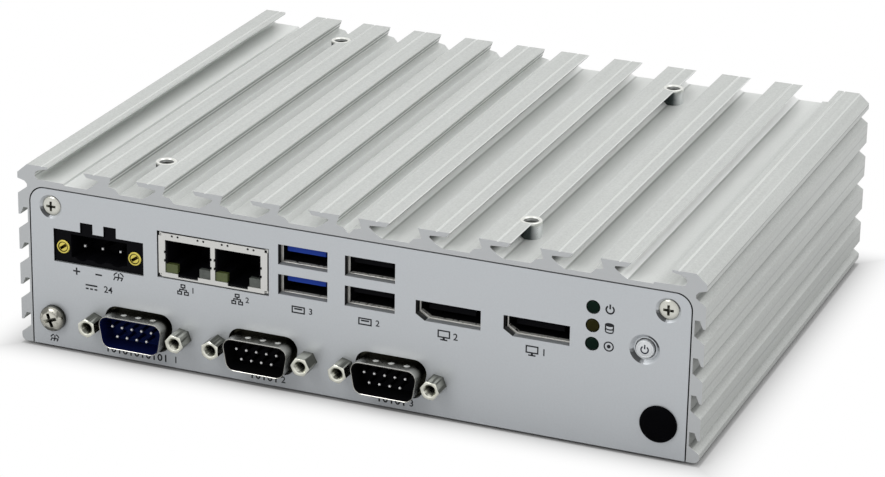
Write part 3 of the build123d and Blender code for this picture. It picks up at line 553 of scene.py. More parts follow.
    def edges(self, graph: Graph, skin: Value, x: Value, z: Value, right: Value) -> Value:
        """Colour with painted highlights on broken edges and painted shade on the bevel under each lip.

        Args:
            graph: Node tree of the material.
            skin: Colour so far.
            x: Distance from the middle plane.
            z: Height.
            right: 1 on the right half and 0 on the left.

        Returns:
            The colour.
        """
        up = graph.axis(graph.normal(), "Z")
        # Painted highlights on the top edges and rims, painted shade on the lip bevels.
        edge = z.step(self.edge_z * MM, (self.edge_z + 0.05) * MM) * (1.0 - up.step(0.93, 0.97))
        start = self.fin_pitch - self.rim_width
        rim = self.past(x, self.lip_end).step(start - 0.05, start + 0.05)
        inner = right * (1.0 - x.step(self.corner_x * MM, (self.corner_x + 1.0) * MM))
        rim = rim * z.step((self.edge_z + 0.2) * MM, (self.edge_z + 0.25) * MM) * inner
        skin = graph.tint((edge + rim) * self.edge, skin, self.painted_light_color)
        bevel = (1.0 - up.step(-0.55, -0.45)) * up.step(-0.8, -0.7)
        bevel = bevel * z.step(self.lip_bottom * MM, (self.lip_bottom + 0.05) * MM)
        return graph.tint(bevel * self.lip_shade, skin, SHADE)


@dataclass(frozen=True)
class DeepMetal(Finish):
    """Bright sheet metal with painted shade further in than its front edge, where it is dark and not
    metallic.
    """

    front: float = 0.0
    depth: float = 1.0
    inner_shade_color: Color = (0.006, 0.006, 0.007)
    lit_floor: float = 0.0
    lit_depth: float = 0.9
    patch_size: float = 1.2

    def inside(self, graph: Graph) -> Value:
        """Mask of the painted shade: 0 at the front edge and 1 behind it, less on a floor that catches light
        from above.

        Args:
            graph: Node tree of the material.

        Returns:
            The mask.
        """
        y = graph.axis(graph.place(), "Y")
        behind = y.step(self.front * MM, (self.front + self.depth) * MM)
        if not self.lit_floor:
            return behind
        near = 1.0 - y.step((self.front + self.lit_depth) * MM, (self.front + self.lit_depth + 0.4) * MM)
        patches = graph.noise(self.patch_size, 1.0).step(0.3, 0.45)
        lit = graph.axis(graph.normal(), "Z").step(0.5, 0.8) * near * patches
        return behind * (1.0 - lit * self.lit_floor)

    def color_of(self, graph: Graph) -> Value:
        """Base colour, with painted shade further in."""
        return graph.tint(self.inside(graph), super().color_of(graph), self.inner_shade_color)

    def extras(self, graph: Graph) -> dict[str, object]:
        """Metal at the front edge alone, none where the shade is painted."""
        return {"Metallic": (1.0 - self.inside(graph)) * self.metallic}


@dataclass(frozen=True)
class SheetPanel(DeepMetal):
    """Blasted sheet with painted shade on the walls of its windows, except those that face up to the light.
    """

    dish_shade: float = 0.85
    lit_sill: float = 0.75

    def inside(self, graph: Graph) -> Value:
        """Mask of the painted shade: 1 on the walls of the windows and 0 on the face.

        Args:
            graph: Node tree of the material.

        Returns:
            The mask.
        """
        normal = graph.normal()
        wall = 1.0 - abs(graph.axis(normal, "Y")).step(0.05, 0.2)
        shaded = 1.0 - graph.axis(normal, "Z").step(0.5, 0.8) * self.lit_sill
        return super().inside(graph) * wall * shaded

    def color_of(self, graph: Graph) -> Value:
        """Base colour, with painted shade in crescents on the diagonal of each round dish.

        Args:
            graph: Node tree of the material.

        Returns:
            The colour.
        """
        normal = graph.normal()
        # Painted shade where the normal's X and Z have the same sign, as on two sides of each dish.
        diagonal = graph.axis(normal, "X") * graph.axis(normal, "Z")
        mask = diagonal.step(0.0, 0.16) * self.dish_shade
        return graph.tint(mask, super().color_of(graph), SHADE)


@dataclass(frozen=True)
class ProudMetal(Finish):
    """Plated metal that stands out of the panel, with painted shade deepening towards its root."""

    tip: float = -77.5
    root: float = -73.0
    root_color: Color = (0.05, 0.05, 0.045)
    axis: str = "Y"
    streak: float = 0.0
    streak_size: float = 1.6
    # Share of painted shade over the whole side behind the tip.
    side: float = 0.0
    lit_above: bool = False
    shaded_side: float = 0.85

    def color_of(self, graph: Graph) -> Value:
        """Base colour, with painted shade deepening from the tip to the root and painted dark reflections in
        streaks along the sides.

        Args:
            graph: Node tree of the material.

        Returns:
            The colour.
        """
        along = graph.axis(graph.place(), self.axis)
        mask = along.step(self.tip * MM, self.root * MM)
        # Painted dark reflections in streaks along the sides, and painted shade over the sides.
        if self.streak:
            streaks = graph.noise(self.streak_size, 2.0, (1.0, 0.05, 1.0)).step(0.4, 0.52)
            behind = along.step(self.tip * MM, (self.tip + 0.2) * MM)
            mask = mask.at_least((streaks * self.streak).at_least(self.side) * behind)
        # Painted shade on the sides turned away from the light above.
        if self.lit_above:
            normal = graph.normal(smooth=True)
            turned = graph.axis(normal, "Z") * 0.8 + graph.axis(normal, "X") * 0.5
            mask = mask.at_least((1.0 - turned.step(-0.15, 0.25)) * self.shaded_side)
        return graph.tint(mask, super().color_of(graph), self.root_color)


@dataclass(frozen=True)
class PillarSteel(ProudMetal):
    """Turned steel with painted shade on the side of the fin, pale on the open side."""

    shade_color: Color = (0.045, 0.055, 0.055)

    def color_of(self, graph: Graph) -> Value:
        """Base colour, with painted shade round the back of the body, pale at the rim.

        Args:
            graph: Node tree of the material.

        Returns:
            The colour.
        """
        normal = graph.normal(smooth=True)
        across = graph.axis(normal, "X") * 0.8 + graph.axis(normal, "Y") * 0.6
        below = graph.axis(graph.place(), self.axis).step(self.tip * MM, (self.tip - 0.4) * MM)
        mask = (1.0 - across.step(-0.35, 0.5)) * below
        return graph.tint(mask, super().color_of(graph), self.shade_color)


@dataclass(frozen=True)
class Lens(Finish):
    """Tinted clear plastic over a dark cavity."""

    coat: float = 1.0

    def extras(self, graph: Graph) -> dict[str, object]:
        """A clear coat that gives the lens its shine."""
        return {"Coat Weight": self.coat, "Coat Roughness": 0.05}


@dataclass(frozen=True)
class PrintedBoard(Finish):
    """Green lacquered board with the relief of its copper tracks."""

    track_size: float = 2.4

    def normal_of(self, graph: Graph) -> bpy.types.NodeSocket:
        """Normal bent by the tracks under the lacquer."""
        tracks = graph.noise(self.track_size, 1.0, (1.0, 0.2, 1.0)).step(0.48, 0.52)
        return graph.bump(tracks, 0.02)


HOUSING = ExtrudedAluminium(
    "blasted_aluminium", (0.53, 0.547, 0.53), 0.45, metallic=0.35, blotch_size=30.0,
    grain_size=0.35, grain_depth=0.012, gloss_change=0.05,
)
PANEL = Finish(
    "panel_aluminium", (0.54, 0.563, 0.585), 0.42, metallic=0.5, blotch_size=45.0, blotch=0.02,
    grain_size=0.3, grain_depth=0.006, gloss_change=0.04, speckle=0.035,
)
SCREW = Finish(
    "nickel_plated_steel", (0.6, 0.6, 0.55), 0.25, metallic=1.0, blotch_size=2.0, blotch=0.08,
    grain_size=0.2, grain_depth=0.004,
)
NICKEL = Finish(
    "bright_nickel", (0.6, 0.59, 0.55), 0.22, metallic=1.0, blotch_size=4.0, blotch=0.06,
    grain_size=0.25, grain_depth=0.003,
)
BUTTON_METAL = Finish(
    "turned_aluminium", (0.68, 0.7, 0.715), 0.35, metallic=0.5, blotch_size=3.0, blotch=0.05,
    grain_size=0.3, grain_depth=0.006, gloss_change=0.04, speckle=0.05,
)
# Painted shade: dark steel for the threaded bores deep in the pillars.
SHADED_BORE_STEEL = Finish(
    "shaded_bore_steel", (0.14, 0.145, 0.14), 0.3, metallic=0.8, blotch_size=1.5, blotch=0.15,
    grain_depth=0.003, specular=0.2,
)
# Painted shade: near-black linings inside the serial shells, navy in the blue port.
SHADED_NICKEL = Finish("shaded_nickel", (0.003, 0.003, 0.0035), 0.6, blotch_size=4.0, blotch=0.1, specular=0.06)
NAVY_SHADED_NICKEL = Finish("navy_shaded_nickel", (0.003, 0.006, 0.045), 0.6, blotch_size=4.0, blotch=0.1, specular=0.06)
TIN = Finish(
    "matt_tin", (0.62, 0.62, 0.6), 0.34, metallic=0.7, blotch_size=3.0, blotch=0.05,
    grain_size=0.2, grain_depth=0.003,
)
PIN_TIN = Finish(
    "pin_tin", (0.6, 0.6, 0.6), 0.35, metallic=0.7, blotch_size=1.0, blotch=0.1, grain_depth=0.001
)
BRASS = Finish(
    "plain_brass", (0.64, 0.54, 0.12), 0.28, metallic=1.0, blotch_size=1.2, blotch=0.15,
    grain_size=0.15, grain_depth=0.006,
)
GOLD = Finish("gold_plating", (0.7, 0.5, 0.2), 0.25, metallic=1.0, blotch_size=1.0, blotch=0.08)
BLACK = Finish(
    "black_moulding", (0.0025, 0.0025, 0.0035), 0.6, blotch_size=6.0, blotch=0.25, grain_size=0.18,
    grain_depth=0.004, specular=0.05,
)
PLUG = Finish(
    "black_rubber", (0.0012, 0.0012, 0.0018), 0.6, blotch_size=3.0, blotch=0.3, grain_size=0.3,
    grain_depth=0.006, specular=0.02,
)
BLUE = Finish("blue_moulding", (0.014, 0.055, 0.4), 0.4, blotch_size=5.0, blotch=0.1, specular=0.15)
# Darker copy of the blue moulding for the insulator deep in its shell: painted shade.
NAVY = Finish("navy_moulding", (0.003, 0.008, 0.06), 0.5, blotch_size=5.0, blotch=0.1, specular=0.08)
INK = Finish(
    "grey_ink", (0.016, 0.017, 0.02), 0.6, blotch_size=1.5, blotch=0.15, grain_depth=0.002, specular=0.2
)
DARK_INK = Finish(
    "slate_ink", (0.02, 0.024, 0.04), 0.6, blotch_size=1.0, blotch=0.15, grain_depth=0.002, specular=0.2
)
GREEN_LENS = Lens(
    "green_lens", (0.0015, 0.01, 0.006), 0.3, blotch_size=1.5, blotch=0.5, grain_depth=0.001,
    specular=0.03, coat=0.05,
)
AMBER_LENS = Lens(
    "amber_lens", (0.02, 0.018, 0.002), 0.3, blotch_size=1.5, blotch=0.5, grain_depth=0.001,
    specular=0.03, coat=0.05,
)
GREEN_WINDOW = Lens(
    "green_window", (0.085, 0.105, 0.034), 0.3, blotch_size=1.5, blotch=0.3, specular=0.3, coat=0.1
)
CLEAR_WINDOW = Lens(
    "clear_window", (0.085, 0.095, 0.085), 0.35, blotch_size=1.2, blotch=0.45, specular=0.3, coat=0.2
)
BOARD = PrintedBoard("green_lacquer", (0.01, 0.09, 0.04), 0.35, blotch_size=8.0, blotch=0.15)
CHIP = Finish("chip_moulding", (0.02, 0.02, 0.022), 0.55, blotch_size=4.0, blotch=0.15)
PAD = Finish("silicone_pad", (0.25, 0.3, 0.36), 0.75, blotch_size=3.0, blotch=0.08, grain_depth=0.02)


# Mesh layer


class Side(Enum):
    """Faces of the case, as the directions of u, v and w."""

    FRONT = ((1, 0, 0), (0, 0, 1), (0, -1, 0))
    REAR = ((-1, 0, 0), (0, 0, 1), (0, 1, 0))
    TOP = ((1, 0, 0), (0, 1, 0), (0, 0, 1))
    BASE = ((1, 0, 0), (0, -1, 0), (0, 0, -1))


def seat(side: Side, x: float, y: float, z: float) -> Matrix:
    """Frame of a piece on a face of the case.

    Args:
        side: The face.
        x: Place along X in millimetres.
        y: Place along Y in millimetres.
        z: Place along Z in millimetres.

    Returns:
        Matrix from the piece's millimetres to the scene's metres.
    """
    u, v, w = side.value
    columns = Matrix((u, v, w)).transposed().to_4x4()
    return Matrix.Translation(Vector((x, y, z)) * MM) @ columns @ Matrix.Scale(MM, 4)


def circle(radius: float, sides: int) -> Loop2:
    """Points of a circle, anticlockwise."""
    steps = [2 * math.pi * index / sides for index in range(sides)]
    return [(radius * math.cos(step), radius * math.sin(step)) for step in steps]


def rounded(corners: Sequence[Point2], radius: float, steps: int = 6) -> Loop2:
    """Polygon with its corners rounded.

    Args:
        corners: Corners, anticlockwise.
        radius: Radius of every corner.
        steps: Segments of each rounding.

    Returns:
        Points of the rounded outline.
    """
    points: Loop2 = []
    count = len(corners)
    for index, corner in enumerate(corners):
        here = Vector(corner)
        back = (Vector(corners[index - 1]) - here).normalized()
        ahead = (Vector(corners[(index + 1) % count]) - here).normalized()
        half = back.angle(ahead) / 2
        centre = here + (back + ahead).normalized() * (radius / math.sin(half))
        start = here + back * (radius / math.tan(half)) - centre
        end = here + ahead * (radius / math.tan(half)) - centre
        first = math.atan2(start.y, start.x)
        sweep = (math.atan2(end.y, end.x) - first) % (2 * math.pi)
        if sweep > math.pi:
            sweep -= 2 * math.pi
        for step in range(steps + 1):
            angle = first + sweep * step / steps
            points.append((centre.x + radius * math.cos(angle), centre.y + radius * math.sin(angle)))
    return points


def rectangle(width: float, height: float) -> Loop2:
    """Corners of a rectangle round its middle, anticlockwise."""
    u, v = width / 2, height / 2
    return [(-u, -v), (u, -v), (u, v), (-u, v)]


def at(loop: Sequence[Point2], w: float) -> Loop3:
    """The loop, lifted to a height."""
    return [(u, v, w) for u, v in loop]


def moved(loop: Sequence[Point2], u: float, v: float) -> Loop2:
    """The loop, moved in its plane."""
    return [(point[0] + u, point[1] + v) for point in loop]


class Shape:
    """Mesh in the making, in a seat's millimetres."""

    def __init__(self) -> None:
        """Start empty."""
        self.mesh = bmesh.new()

    def loft(self, loops: Sequence[Loop3], ring: bool = False) -> "Shape":
        """Skin over loops of the same number of points.

        Args:
            loops: Loops in order, from the first end to the last.
            ring: Whether the last loop joins the first, in place of a cap at each end.

        Returns:
            This shape.
        """
        rings = [[self.mesh.verts.new(point) for point in loop] for loop in loops]
        pairs = list(zip(rings, rings[1:])) + ([(rings[-1], rings[0])] if ring else [])
        count = len(rings[0])
        for low, high in pairs:
            for index in range(count):
                after = (index + 1) % count
                self.mesh.faces.new((low[index], low[after], high[after], high[index]))
        if not ring:
            self.mesh.faces.new(list(reversed(rings[0])))
            self.mesh.faces.new(rings[-1])
        return self

    def prism(self, loop: Sequence[Point2], low: float, high: float) -> "Shape":
        """Straight prism of a loop between two heights."""
        return self.loft([at(loop, low), at(loop, high)])

    def lathe(self, profile: Sequence[Point2], sides: int = 40, u: float = 0.0, v: float = 0.0) -> "Shape":
        """Turned piece.

        Args:
            profile: Radius and height pairs, from the bottom to the top.
            sides: Segments round the piece.
            u: Place of its axis along u.
            v: Place of its axis along v.

        Returns:
            This shape.
        """
        return self.loft([at(moved(circle(radius, sides), u, v), w) for radius, w in profile])

    def bar(self, start: Point2, end: Point2, width: float, low: float, high: float) -> "Shape":
        """Straight stroke between two points.

        Args:
            start: One end of its middle line.
            end: The other end.
            width: Width of the stroke.
            low: Its lower height.
            high: Its upper height.

        Returns:
            This shape.
        """
        along = Vector(end) - Vector(start)
        side = Vector((-along.y, along.x)).normalized() * width / 2
        a, b = Vector(start), Vector(end)
        return self.prism([tuple(a - side), tuple(b - side), tuple(b + side), tuple(a + side)], low, high)

    def arc(
        self, centre: Point2, radius: float, first: float, last: float, width: float, low: float, high: float
    ) -> "Shape":
        """Curved stroke round a centre.

        Args:
            centre: Centre of the arc.
            radius: Radius of its middle line.
            first: Angle in degrees where it starts.
            last: Angle in degrees where it ends.
            width: Width of the stroke.
            low: Its lower height.
            high: Its upper height.

        Returns:
            This shape.
        """
        steps = max(4, int(abs(last - first) / 12))
        angles = [math.radians(first + (last - first) * index / steps) for index in range(steps + 1)]
        outer = radius + width / 2
        inner = radius - width / 2
        rim = [(centre[0] + outer * math.cos(a), centre[1] + outer * math.sin(a)) for a in angles]
        bore = [(centre[0] + inner * math.cos(a), centre[1] + inner * math.sin(a)) for a in angles]
        for index in range(steps):
            self.prism([rim[index], rim[index + 1], bore[index + 1], bore[index]], low, high)
        return self

    def less(self, cutter: "Shape") -> "Shape":
        """This shape with the cutter taken away.

        Args:
            cutter: Closed shape to take away.

        Returns:
            This shape.
        """
        body = self._stand_in("cut_body")
        tool = cutter._stand_in("cut_tool")
        change = body.modifiers.new("cut", "BOOLEAN")
        change.operation = "DIFFERENCE"
        change.solver = "EXACT"
        change.use_self = True
        change.object = tool
        bpy.context.view_layer.update()
        cut = bpy.data.meshes.new_from_object(body.evaluated_get(bpy.context.evaluated_depsgraph_get()))
        self.mesh = bmesh.new()
        self.mesh.from_mesh(cut)
        for stand_in in (body, tool):
            old = stand_in.data
            bpy.data.objects.remove(stand_in)
            bpy.data.meshes.remove(old)
        bpy.data.meshes.remove(cut)
        return self

    def _stand_in(self, name: str) -> bpy.types.Object:
        """Object that holds this shape for one operation.

        Args:
            name: Name of the object.

        Returns:
            The object.
        """
        bmesh.ops.recalc_face_normals(self.mesh, faces=self.mesh.faces[:])
        data = bpy.data.meshes.new(name)
        self.mesh.to_mesh(data)
        self.mesh.free()
        made = bpy.data.objects.new(name, data)
        bpy.context.scene.collection.objects.link(made)
        return made

    def add(self, other: "Shape") -> "Shape":
        """This shape with the faces of another beside its own.

        Args:
            other: The other shape.

        Returns:
            This shape.
        """
        data = bpy.data.meshes.new("joined")
        other.mesh.to_mesh(data)
        other.mesh.free()
        self.mesh.from_mesh(data)
        bpy.data.meshes.remove(data)
        return self

    def piece(
        self,
        name: str,
        seats: Union[Matrix, Sequence[Matrix]],
        finish: Finish,
        slot: Slot,
        body: Body = Body.CASE,
        replaces: Sequence[str] = (),
        bevel: float = 0.0,
        smooth: float = 35.0,
    ) -> bpy.types.Object:
        """Turn the shape into a piece of the scene, once in each seat.

        Args:
            name: Name of the piece.
            seats: Where it stands; several seats give one piece with several copies.
            finish: Its surface.
            slot: The record's material slot; not used.
            body: The body that it rides on.
            replaces: CAD nodes that it stands for.
            bevel: Width in millimetres of its broken edges.
            smooth: Angle in degrees up to which faces shade smoothly.

        Returns:
            The new object.
        """
        bmesh.ops.remove_doubles(self.mesh, verts=self.mesh.verts[:], dist=1e-5)
        bmesh.ops.recalc_face_normals(self.mesh, faces=self.mesh.faces[:])
        single = bpy.data.meshes.new(name)
        self.mesh.to_mesh(single)
        self.mesh.free()
        whole = bmesh.new()
        for place in [seats] if isinstance(seats, Matrix) else seats:
            copy = single.copy()
            copy.transform(place)
            if place.determinant() < 0:
                copy.flip_normals()
            whole.from_mesh(copy)
            bpy.data.meshes.remove(copy)
        whole.to_mesh(single)
        whole.free()
        single.shade_smooth()
        single.set_sharp_from_angle(angle=math.radians(smooth))
        made = bpy.data.objects.new(name, single)
        bpy.context.scene.collection.objects.link(made)
        single.materials.append(finish.material())
        if bevel:
            break_edges(made, bevel)
        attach(made, body.value)
        if replaces:
            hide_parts(*replaces)
        return made


def break_edges(piece: bpy.types.Object, width: float) -> None:
    """Round the sharp edges of a piece a little.

    Args:
        piece: The object.
        width: Width in millimetres of the rounding.
    """
    weld = piece.modifiers.new("weld", "WELD")
    weld.merge_threshold = 2e-6
    edge = piece.modifiers.new("edges", "BEVEL")
    edge.width = width * MM
    edge.segments = 2
    edge.limit_method = "ANGLE"
    edge.angle_limit = math.radians(32)
    edge.harden_normals = False
    edge.use_clamp_overlap = True


def dress(node: str, finish: Finish, bevel: float = 0.0) -> None:
    """Give a CAD node its finish.

    Args:
        node: Name of the node.
        finish: Its surface.
        bevel: Width in millimetres of its broken edges.
    """
    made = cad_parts[node]
    for place in made.material_slots:
        place.material = finish.material()
    if bevel:
        break_edges(made, bevel)
    LOG.info("dressed %s in %s", node, finish.name)


def cross_recess(reach: float, width: float, depth: float, top: float) -> Shape:
    """Cutter for a cross recess.

    Args:
        reach: Distance from the middle to the end of each wing.
        width: Width of a wing.
        depth: Depth under the top.
        top: Height of the top of the head.

    Returns:
        The cutter.
    """
    half = width / 2
    wing = [(reach, -half), (reach, half), (half, half)]
    mouth: Loop2 = []
    for turn in range(4):
        c, s = math.cos(turn * math.pi / 2), math.sin(turn * math.pi / 2)
        mouth += [(u * c - v * s, u * s + v * c) for u, v in wing]
    floor = [(u * 0.5, v * 0.6) for u, v in mouth]
    lip = [(u * 1.2, v * 1.2) for u, v in mouth]
    return Shape().loft([at(floor, top - depth), at(mouth, top - 0.15), at(lip, top + 0.5)])


def islands(mesh: bmesh.types.BMesh) -> list[list[bmesh.types.BMVert]]:
    """Separate bodies of a mesh.

    Args:
        mesh: The mesh.

    Returns:
        The points of each body.
    """
    left = set(mesh.verts)
    found = []
    while left:
        island = [left.pop()]
        for vert in island:
            near = {end for edge in vert.link_edges for end in edge.verts} & left
            left -= near
            island.extend(near)
        found.append(island)
    return found


# Sub-assemblies


@dataclass
class Case:
    """Sizes that the sub-assemblies share, read from the frame where it gives them."""

    front: float = field(default_factory=lambda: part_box("front_panel")[0].y / MM)
    rear: float = field(default_factory=lambda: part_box("rear_panel")[1].y / MM)
    top: float = field(default_factory=lambda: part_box("housing")[1].z / MM)

    def on_front(self, x: float, z: float) -> Matrix:
        """Seat on the front face."""
        return seat(Side.FRONT, x, self.front, z)

    def middles(self, node: str, u: int, v: int) -> list[Point2]:
        """Middles of a node's separate solids in two axes, in millimetres.

        Args:
            node: Name of the CAD node.
            u: Number of the first axis.
            v: Number of the second axis.

        Returns:
            Middles, sorted.
        """
        shell = bmesh.new()
        shell.from_mesh(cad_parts[node].data)
        bmesh.ops.remove_doubles(shell, verts=shell.verts[:], dist=1e-6)
        found = []
        for island in islands(shell):
            spans = [[vert.co[axis] / MM for vert in island] for axis in (u, v)]
            found.append(tuple((min(span) + max(span)) / 2 for span in spans))
        shell.free()
        return sorted(found)

    def seats(self, node: str) -> list[Matrix]:
        """Seats on the front face at the middles of a node's separate solids."""
        return [self.on_front(x, z) for x, z in self.middles(node, 0, 2)]


@dataclass
class Enclosure:
    """Extruded housing, end panels and base plate."""

    case: Case
    housing_edge: float = 0.18
    panel_edge: float = 0.06
    lit_depth: float = 0.05

    def build(self) -> None:
        """Dress the sheet and extrusion pieces."""
        front = PANEL.become(
            SheetPanel, "front_panel_aluminium", specular=0.05, front=self.case.front + self.lit_depth,
            depth=0.12,
        )
        dress("housing", HOUSING, self.housing_edge)
        dress("front_panel", front, self.panel_edge)
        dress("rear_panel", PANEL, self.panel_edge)
        dress("base_plate", PANEL, self.panel_edge)


@dataclass
class Fasteners:
    """Screws of the panels and the base, and the ground screw."""

    case: Case
    head_radius: float = 2.6
    dimple: float = 0.6
    crown: float = 0.5
    seat_depth: float = 1.0
    shank_radius: float = 1.5
    length: float = 8.0
    recess_reach: float = 1.3
    recess_width: float = 0.65
    recess_depth: float = 1.1
    pan_radius: float = 3.5
    pan_height: float = 2.6
    pan_shank: float = 2.0
    pan_recess_reach: float = 1.9
    pan_recess_width: float = 0.9
    pan_recess_depth: float = 1.5
    pan_turn: float = 20.0

    def screw(self) -> Shape:
        """Raised countersunk screw with a cross recess, its rim a dimple's depth below the face.

        Returns:
            The screw.
        """
        rim = -self.dimple
        profile = [
            (self.shank_radius, self.dimple - self.length),
            (self.shank_radius, rim - self.seat_depth),
            (self.head_radius - 0.05, rim - 0.05),
            (self.head_radius, rim + 0.02),
            (self.head_radius * 0.93, rim + self.crown * 0.38),
            (self.head_radius * 0.75, rim + self.crown * 0.7),
            (self.head_radius * 0.45, rim + self.crown * 0.93),
            (0.3, rim + self.crown),
        ]
        cut = cross_recess(self.recess_reach, self.recess_width, self.recess_depth, rim + self.crown)
        return Shape().lathe(profile).less(cut)

    def ground_screw(self) -> Shape:
        """Pan-head screw with a cross recess.

        Returns:
            The screw.
        """
        radius, height = self.pan_radius, self.pan_height
        profile = [
            (self.pan_shank, -self.length),
            (self.pan_shank, 0.0),
            (radius - 0.15, 0.0),
            (radius, 0.15),
            (radius, height * 0.42),
            (radius * 0.94, height * 0.66),
            (radius * 0.8, height * 0.84),
            (radius * 0.55, height * 0.96),
            (0.4, height),
        ]
        cut = cross_recess(self.pan_recess_reach, self.pan_recess_width, self.pan_recess_depth, height)
        return Shape().lathe(profile, 48).less(cut)

    def build(self) -> None:
        """Make all screws that can be seen."""
        case = self.case
        crown = case.front + self.dimple - self.crown
        # Painted shade in the recess and towards the root of each panel screw.
        plated = SCREW.become(
            ProudMetal, "panel_screw_nickel", tip=crown + 0.1, root=crown + 1.2, root_color=(0.1, 0.1, 0.085)
        )
        front = case.seats("front_panel_screws")
        self.screw().piece(
            "front_panel_cross_screws", front, plated, Slot.FASTENERS, replaces=["front_panel_screws"]
        )
        rear = [seat(Side.REAR, x, case.rear, z) for x, z in case.middles("rear_panel_screws", 0, 2)]
        self.screw().piece(
            "rear_panel_cross_screws", rear, SCREW, Slot.FASTENERS, replaces=["rear_panel_screws"]
        )
        base = [seat(Side.BASE, x, y, 0.0) for x, y in case.middles("base_screws", 0, 1)]
        self.screw().piece("base_cross_screws", base, SCREW, Slot.FASTENERS, replaces=["base_screws"])
        turn = Matrix.Rotation(math.radians(self.pan_turn), 4, "Z")
        ground = [place @ turn for place in case.seats("ground_screw")]
        top = case.front - self.pan_height
        # Painted shade towards the root and painted dark reflections in streaks on the ground screw.
        pan = SCREW.become(
            ProudMetal, "ground_screw_nickel", color=(0.66, 0.65, 0.58), tip=top + 0.05, root=top + 1.7,
            root_color=(0.03, 0.03, 0.024), streak=0.8, streak_size=2.2,
        )
        self.ground_screw().piece(
            "ground_pan_screw", ground, pan, Slot.FASTENERS, replaces=["ground_screw"]
        )


@dataclass
class MountingPillars:
    """Threaded pillars that end flush with the fins."""

    case: Case
    radius: float = 2.8
    bore: float = 1.65
    bore_depth: float = 6.5
    thread_wall: float = 0.25
    thread_depth: float = 0.28
    thread_start: float = 0.5
    pitch: float = 0.5
    shade_below: float = 0.35

    def turned(self, points: Sequence[Point2]) -> Shape:
        """Turned ring of these radius and height pairs."""
        return Shape().loft([at(circle(radius, 40), w) for radius, w in points], ring=True)

    def sleeve(self) -> Shape:
        """Outside and chamfered mouth of a pillar.

        Returns:
            The sleeve.
        """
        foot = (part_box("mounting_pillars")[0].z / MM) - self.case.top
        hole = self.bore + self.thread_wall
        return self.turned([
            (hole, foot), (self.radius, foot), (self.radius, -0.12), (self.radius - 0.12, 0.0),
            (self.bore + 0.5, 0.0), (hole, -0.3),
        ])

    def thread(self) -> Shape:
        """Threaded bore of a pillar.

        Returns:
            The wall of the bore.
        """
        hole = self.bore + self.thread_wall
        w = -self.thread_start
        points = [(hole, -self.bore_depth), (hole, -0.32), (self.bore, w)]
        while w > self.pitch - self.bore_depth:
            points += [(self.bore - self.thread_depth, w - self.pitch * 0.5), (self.bore, w - self.pitch)]
            w -= self.pitch
        return self.turned(points + [(self.bore - 0.1, -self.bore_depth)])

    def build(self) -> None:
        """Make the four pillars."""
        places = self.case.middles("mounting_pillars", 0, 1)
        seats = [seat(Side.TOP, x, y, self.case.top) for x, y in places]
        # Painted shade round the back of each pillar and below its rim.
        finish = PillarSteel(
            "turned_steel", (0.76, 0.77, 0.73), 0.3, metallic=0.8, blotch_size=2.0, blotch=0.08,
            tip=self.case.top - self.shade_below, root=self.case.top - self.shade_below - 1.0,
            root_color=(0.7, 0.72, 0.72), axis="Z",
        )
        self.sleeve().piece(
            "turned_pillars", seats, finish, Slot.FASTENERS, replaces=["mounting_pillars"]
        )
        self.thread().piece("pillar_threads", seats, SHADED_BORE_STEEL, Slot.FASTENERS)


@dataclass
class PowerInlet:
    """Power header with its pins and screw inserts."""

    case: Case
    insert_radius: float = 1.85
    insert_proud: float = 0.3
    insert_setback: float = 0.4
    insert_length: float = 9.0
    slot_width: float = 0.8
    slot_turn: float = 35.0
    slot_reach: float = 1.05
    pin_size: float = 1.0
    pin_tip: float = 0.5
    pin_start: float = 2.4
    pin_end: float = 14.4

    def insert(self) -> Shape:
        """Slotted insert with a raised rim round a sunk screw.

        Returns:
            The insert.
        """
        face = self.insert_proud - self.insert_setback
        radius = self.insert_radius
        profile = [
            (radius, face - self.insert_length),
            (radius, face - 0.12),
            (radius - 0.12, face),
            (radius * 0.76, face),
            (radius * 0.72, face - 0.5),
            (radius * 0.66, face - 0.5),
            (radius * 0.62, face - 0.12),
            (radius * 0.3, face - 0.1),
            (0.15, face - 0.1),
        ]
        turn = math.radians(self.slot_turn)
        end = (self.slot_reach * math.cos(turn), self.slot_reach * math.sin(turn))
        slot = Shape().bar((-end[0], -end[1]), end, self.slot_width, face - 1.0, face + 1)
        return Shape().lathe(profile, 40).less(slot)

    def pin(self, leg: float) -> Shape:
        """Square pin with a tapered tip and a leg down to the board.

        Args:
            leg: Length of the leg under the pin's middle.

        Returns:
            The pin.
        """
        half = self.pin_size / 2
        square = rectangle(self.pin_size, self.pin_size)
        tip = rectangle(self.pin_tip, self.pin_tip)
        shape = Shape().loft(
            [at(square, -self.pin_end), at(square, -self.pin_start - 1.1), at(tip, -self.pin_start)]
        )
        down = moved(rectangle(self.pin_size * 0.99, leg - half), 0.0, -half - (leg - half) / 2)
        return shape.prism(down, -self.pin_end, -self.pin_end + self.pin_size)

    def build(self) -> None:
        """Dress the header and make its pins and inserts."""
        dress("power_header", BLACK, 0.12)
        low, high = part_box("power_header_pins")
        middle = high.z / MM - self.pin_size / 2
        pins = [self.case.on_front(x, middle) for x, _ in self.case.middles("power_header_pins", 0, 2)]
        start = self.case.front + self.pin_start
        # Painted shade on the pins behind their tips.
        tinned = PIN_TIN.become(
            ProudMetal, "tinned_power_pins", tip=start + 0.1, root=start + 0.5,
            root_color=(0.008, 0.008, 0.01),
        )
        self.pin(middle - low.z / MM).piece(
            "tapered_pins", pins, tinned, Slot.TINNED, replaces=["power_header_pins"]
        )
        seats = self.case.seats("power_header_inserts")
        front = self.case.front + self.insert_setback - self.insert_proud
        # Painted shade on the inserts behind their front faces.
        finish = BRASS.become(
            ProudMetal, "turned_brass", tip=front + 0.15, root=front + 0.5, root_color=(0.03, 0.02, 0.004)
        )
        self.insert().piece(
            "slotted_inserts", seats, finish, Slot.BRASS, replaces=["power_header_inserts"]
        )


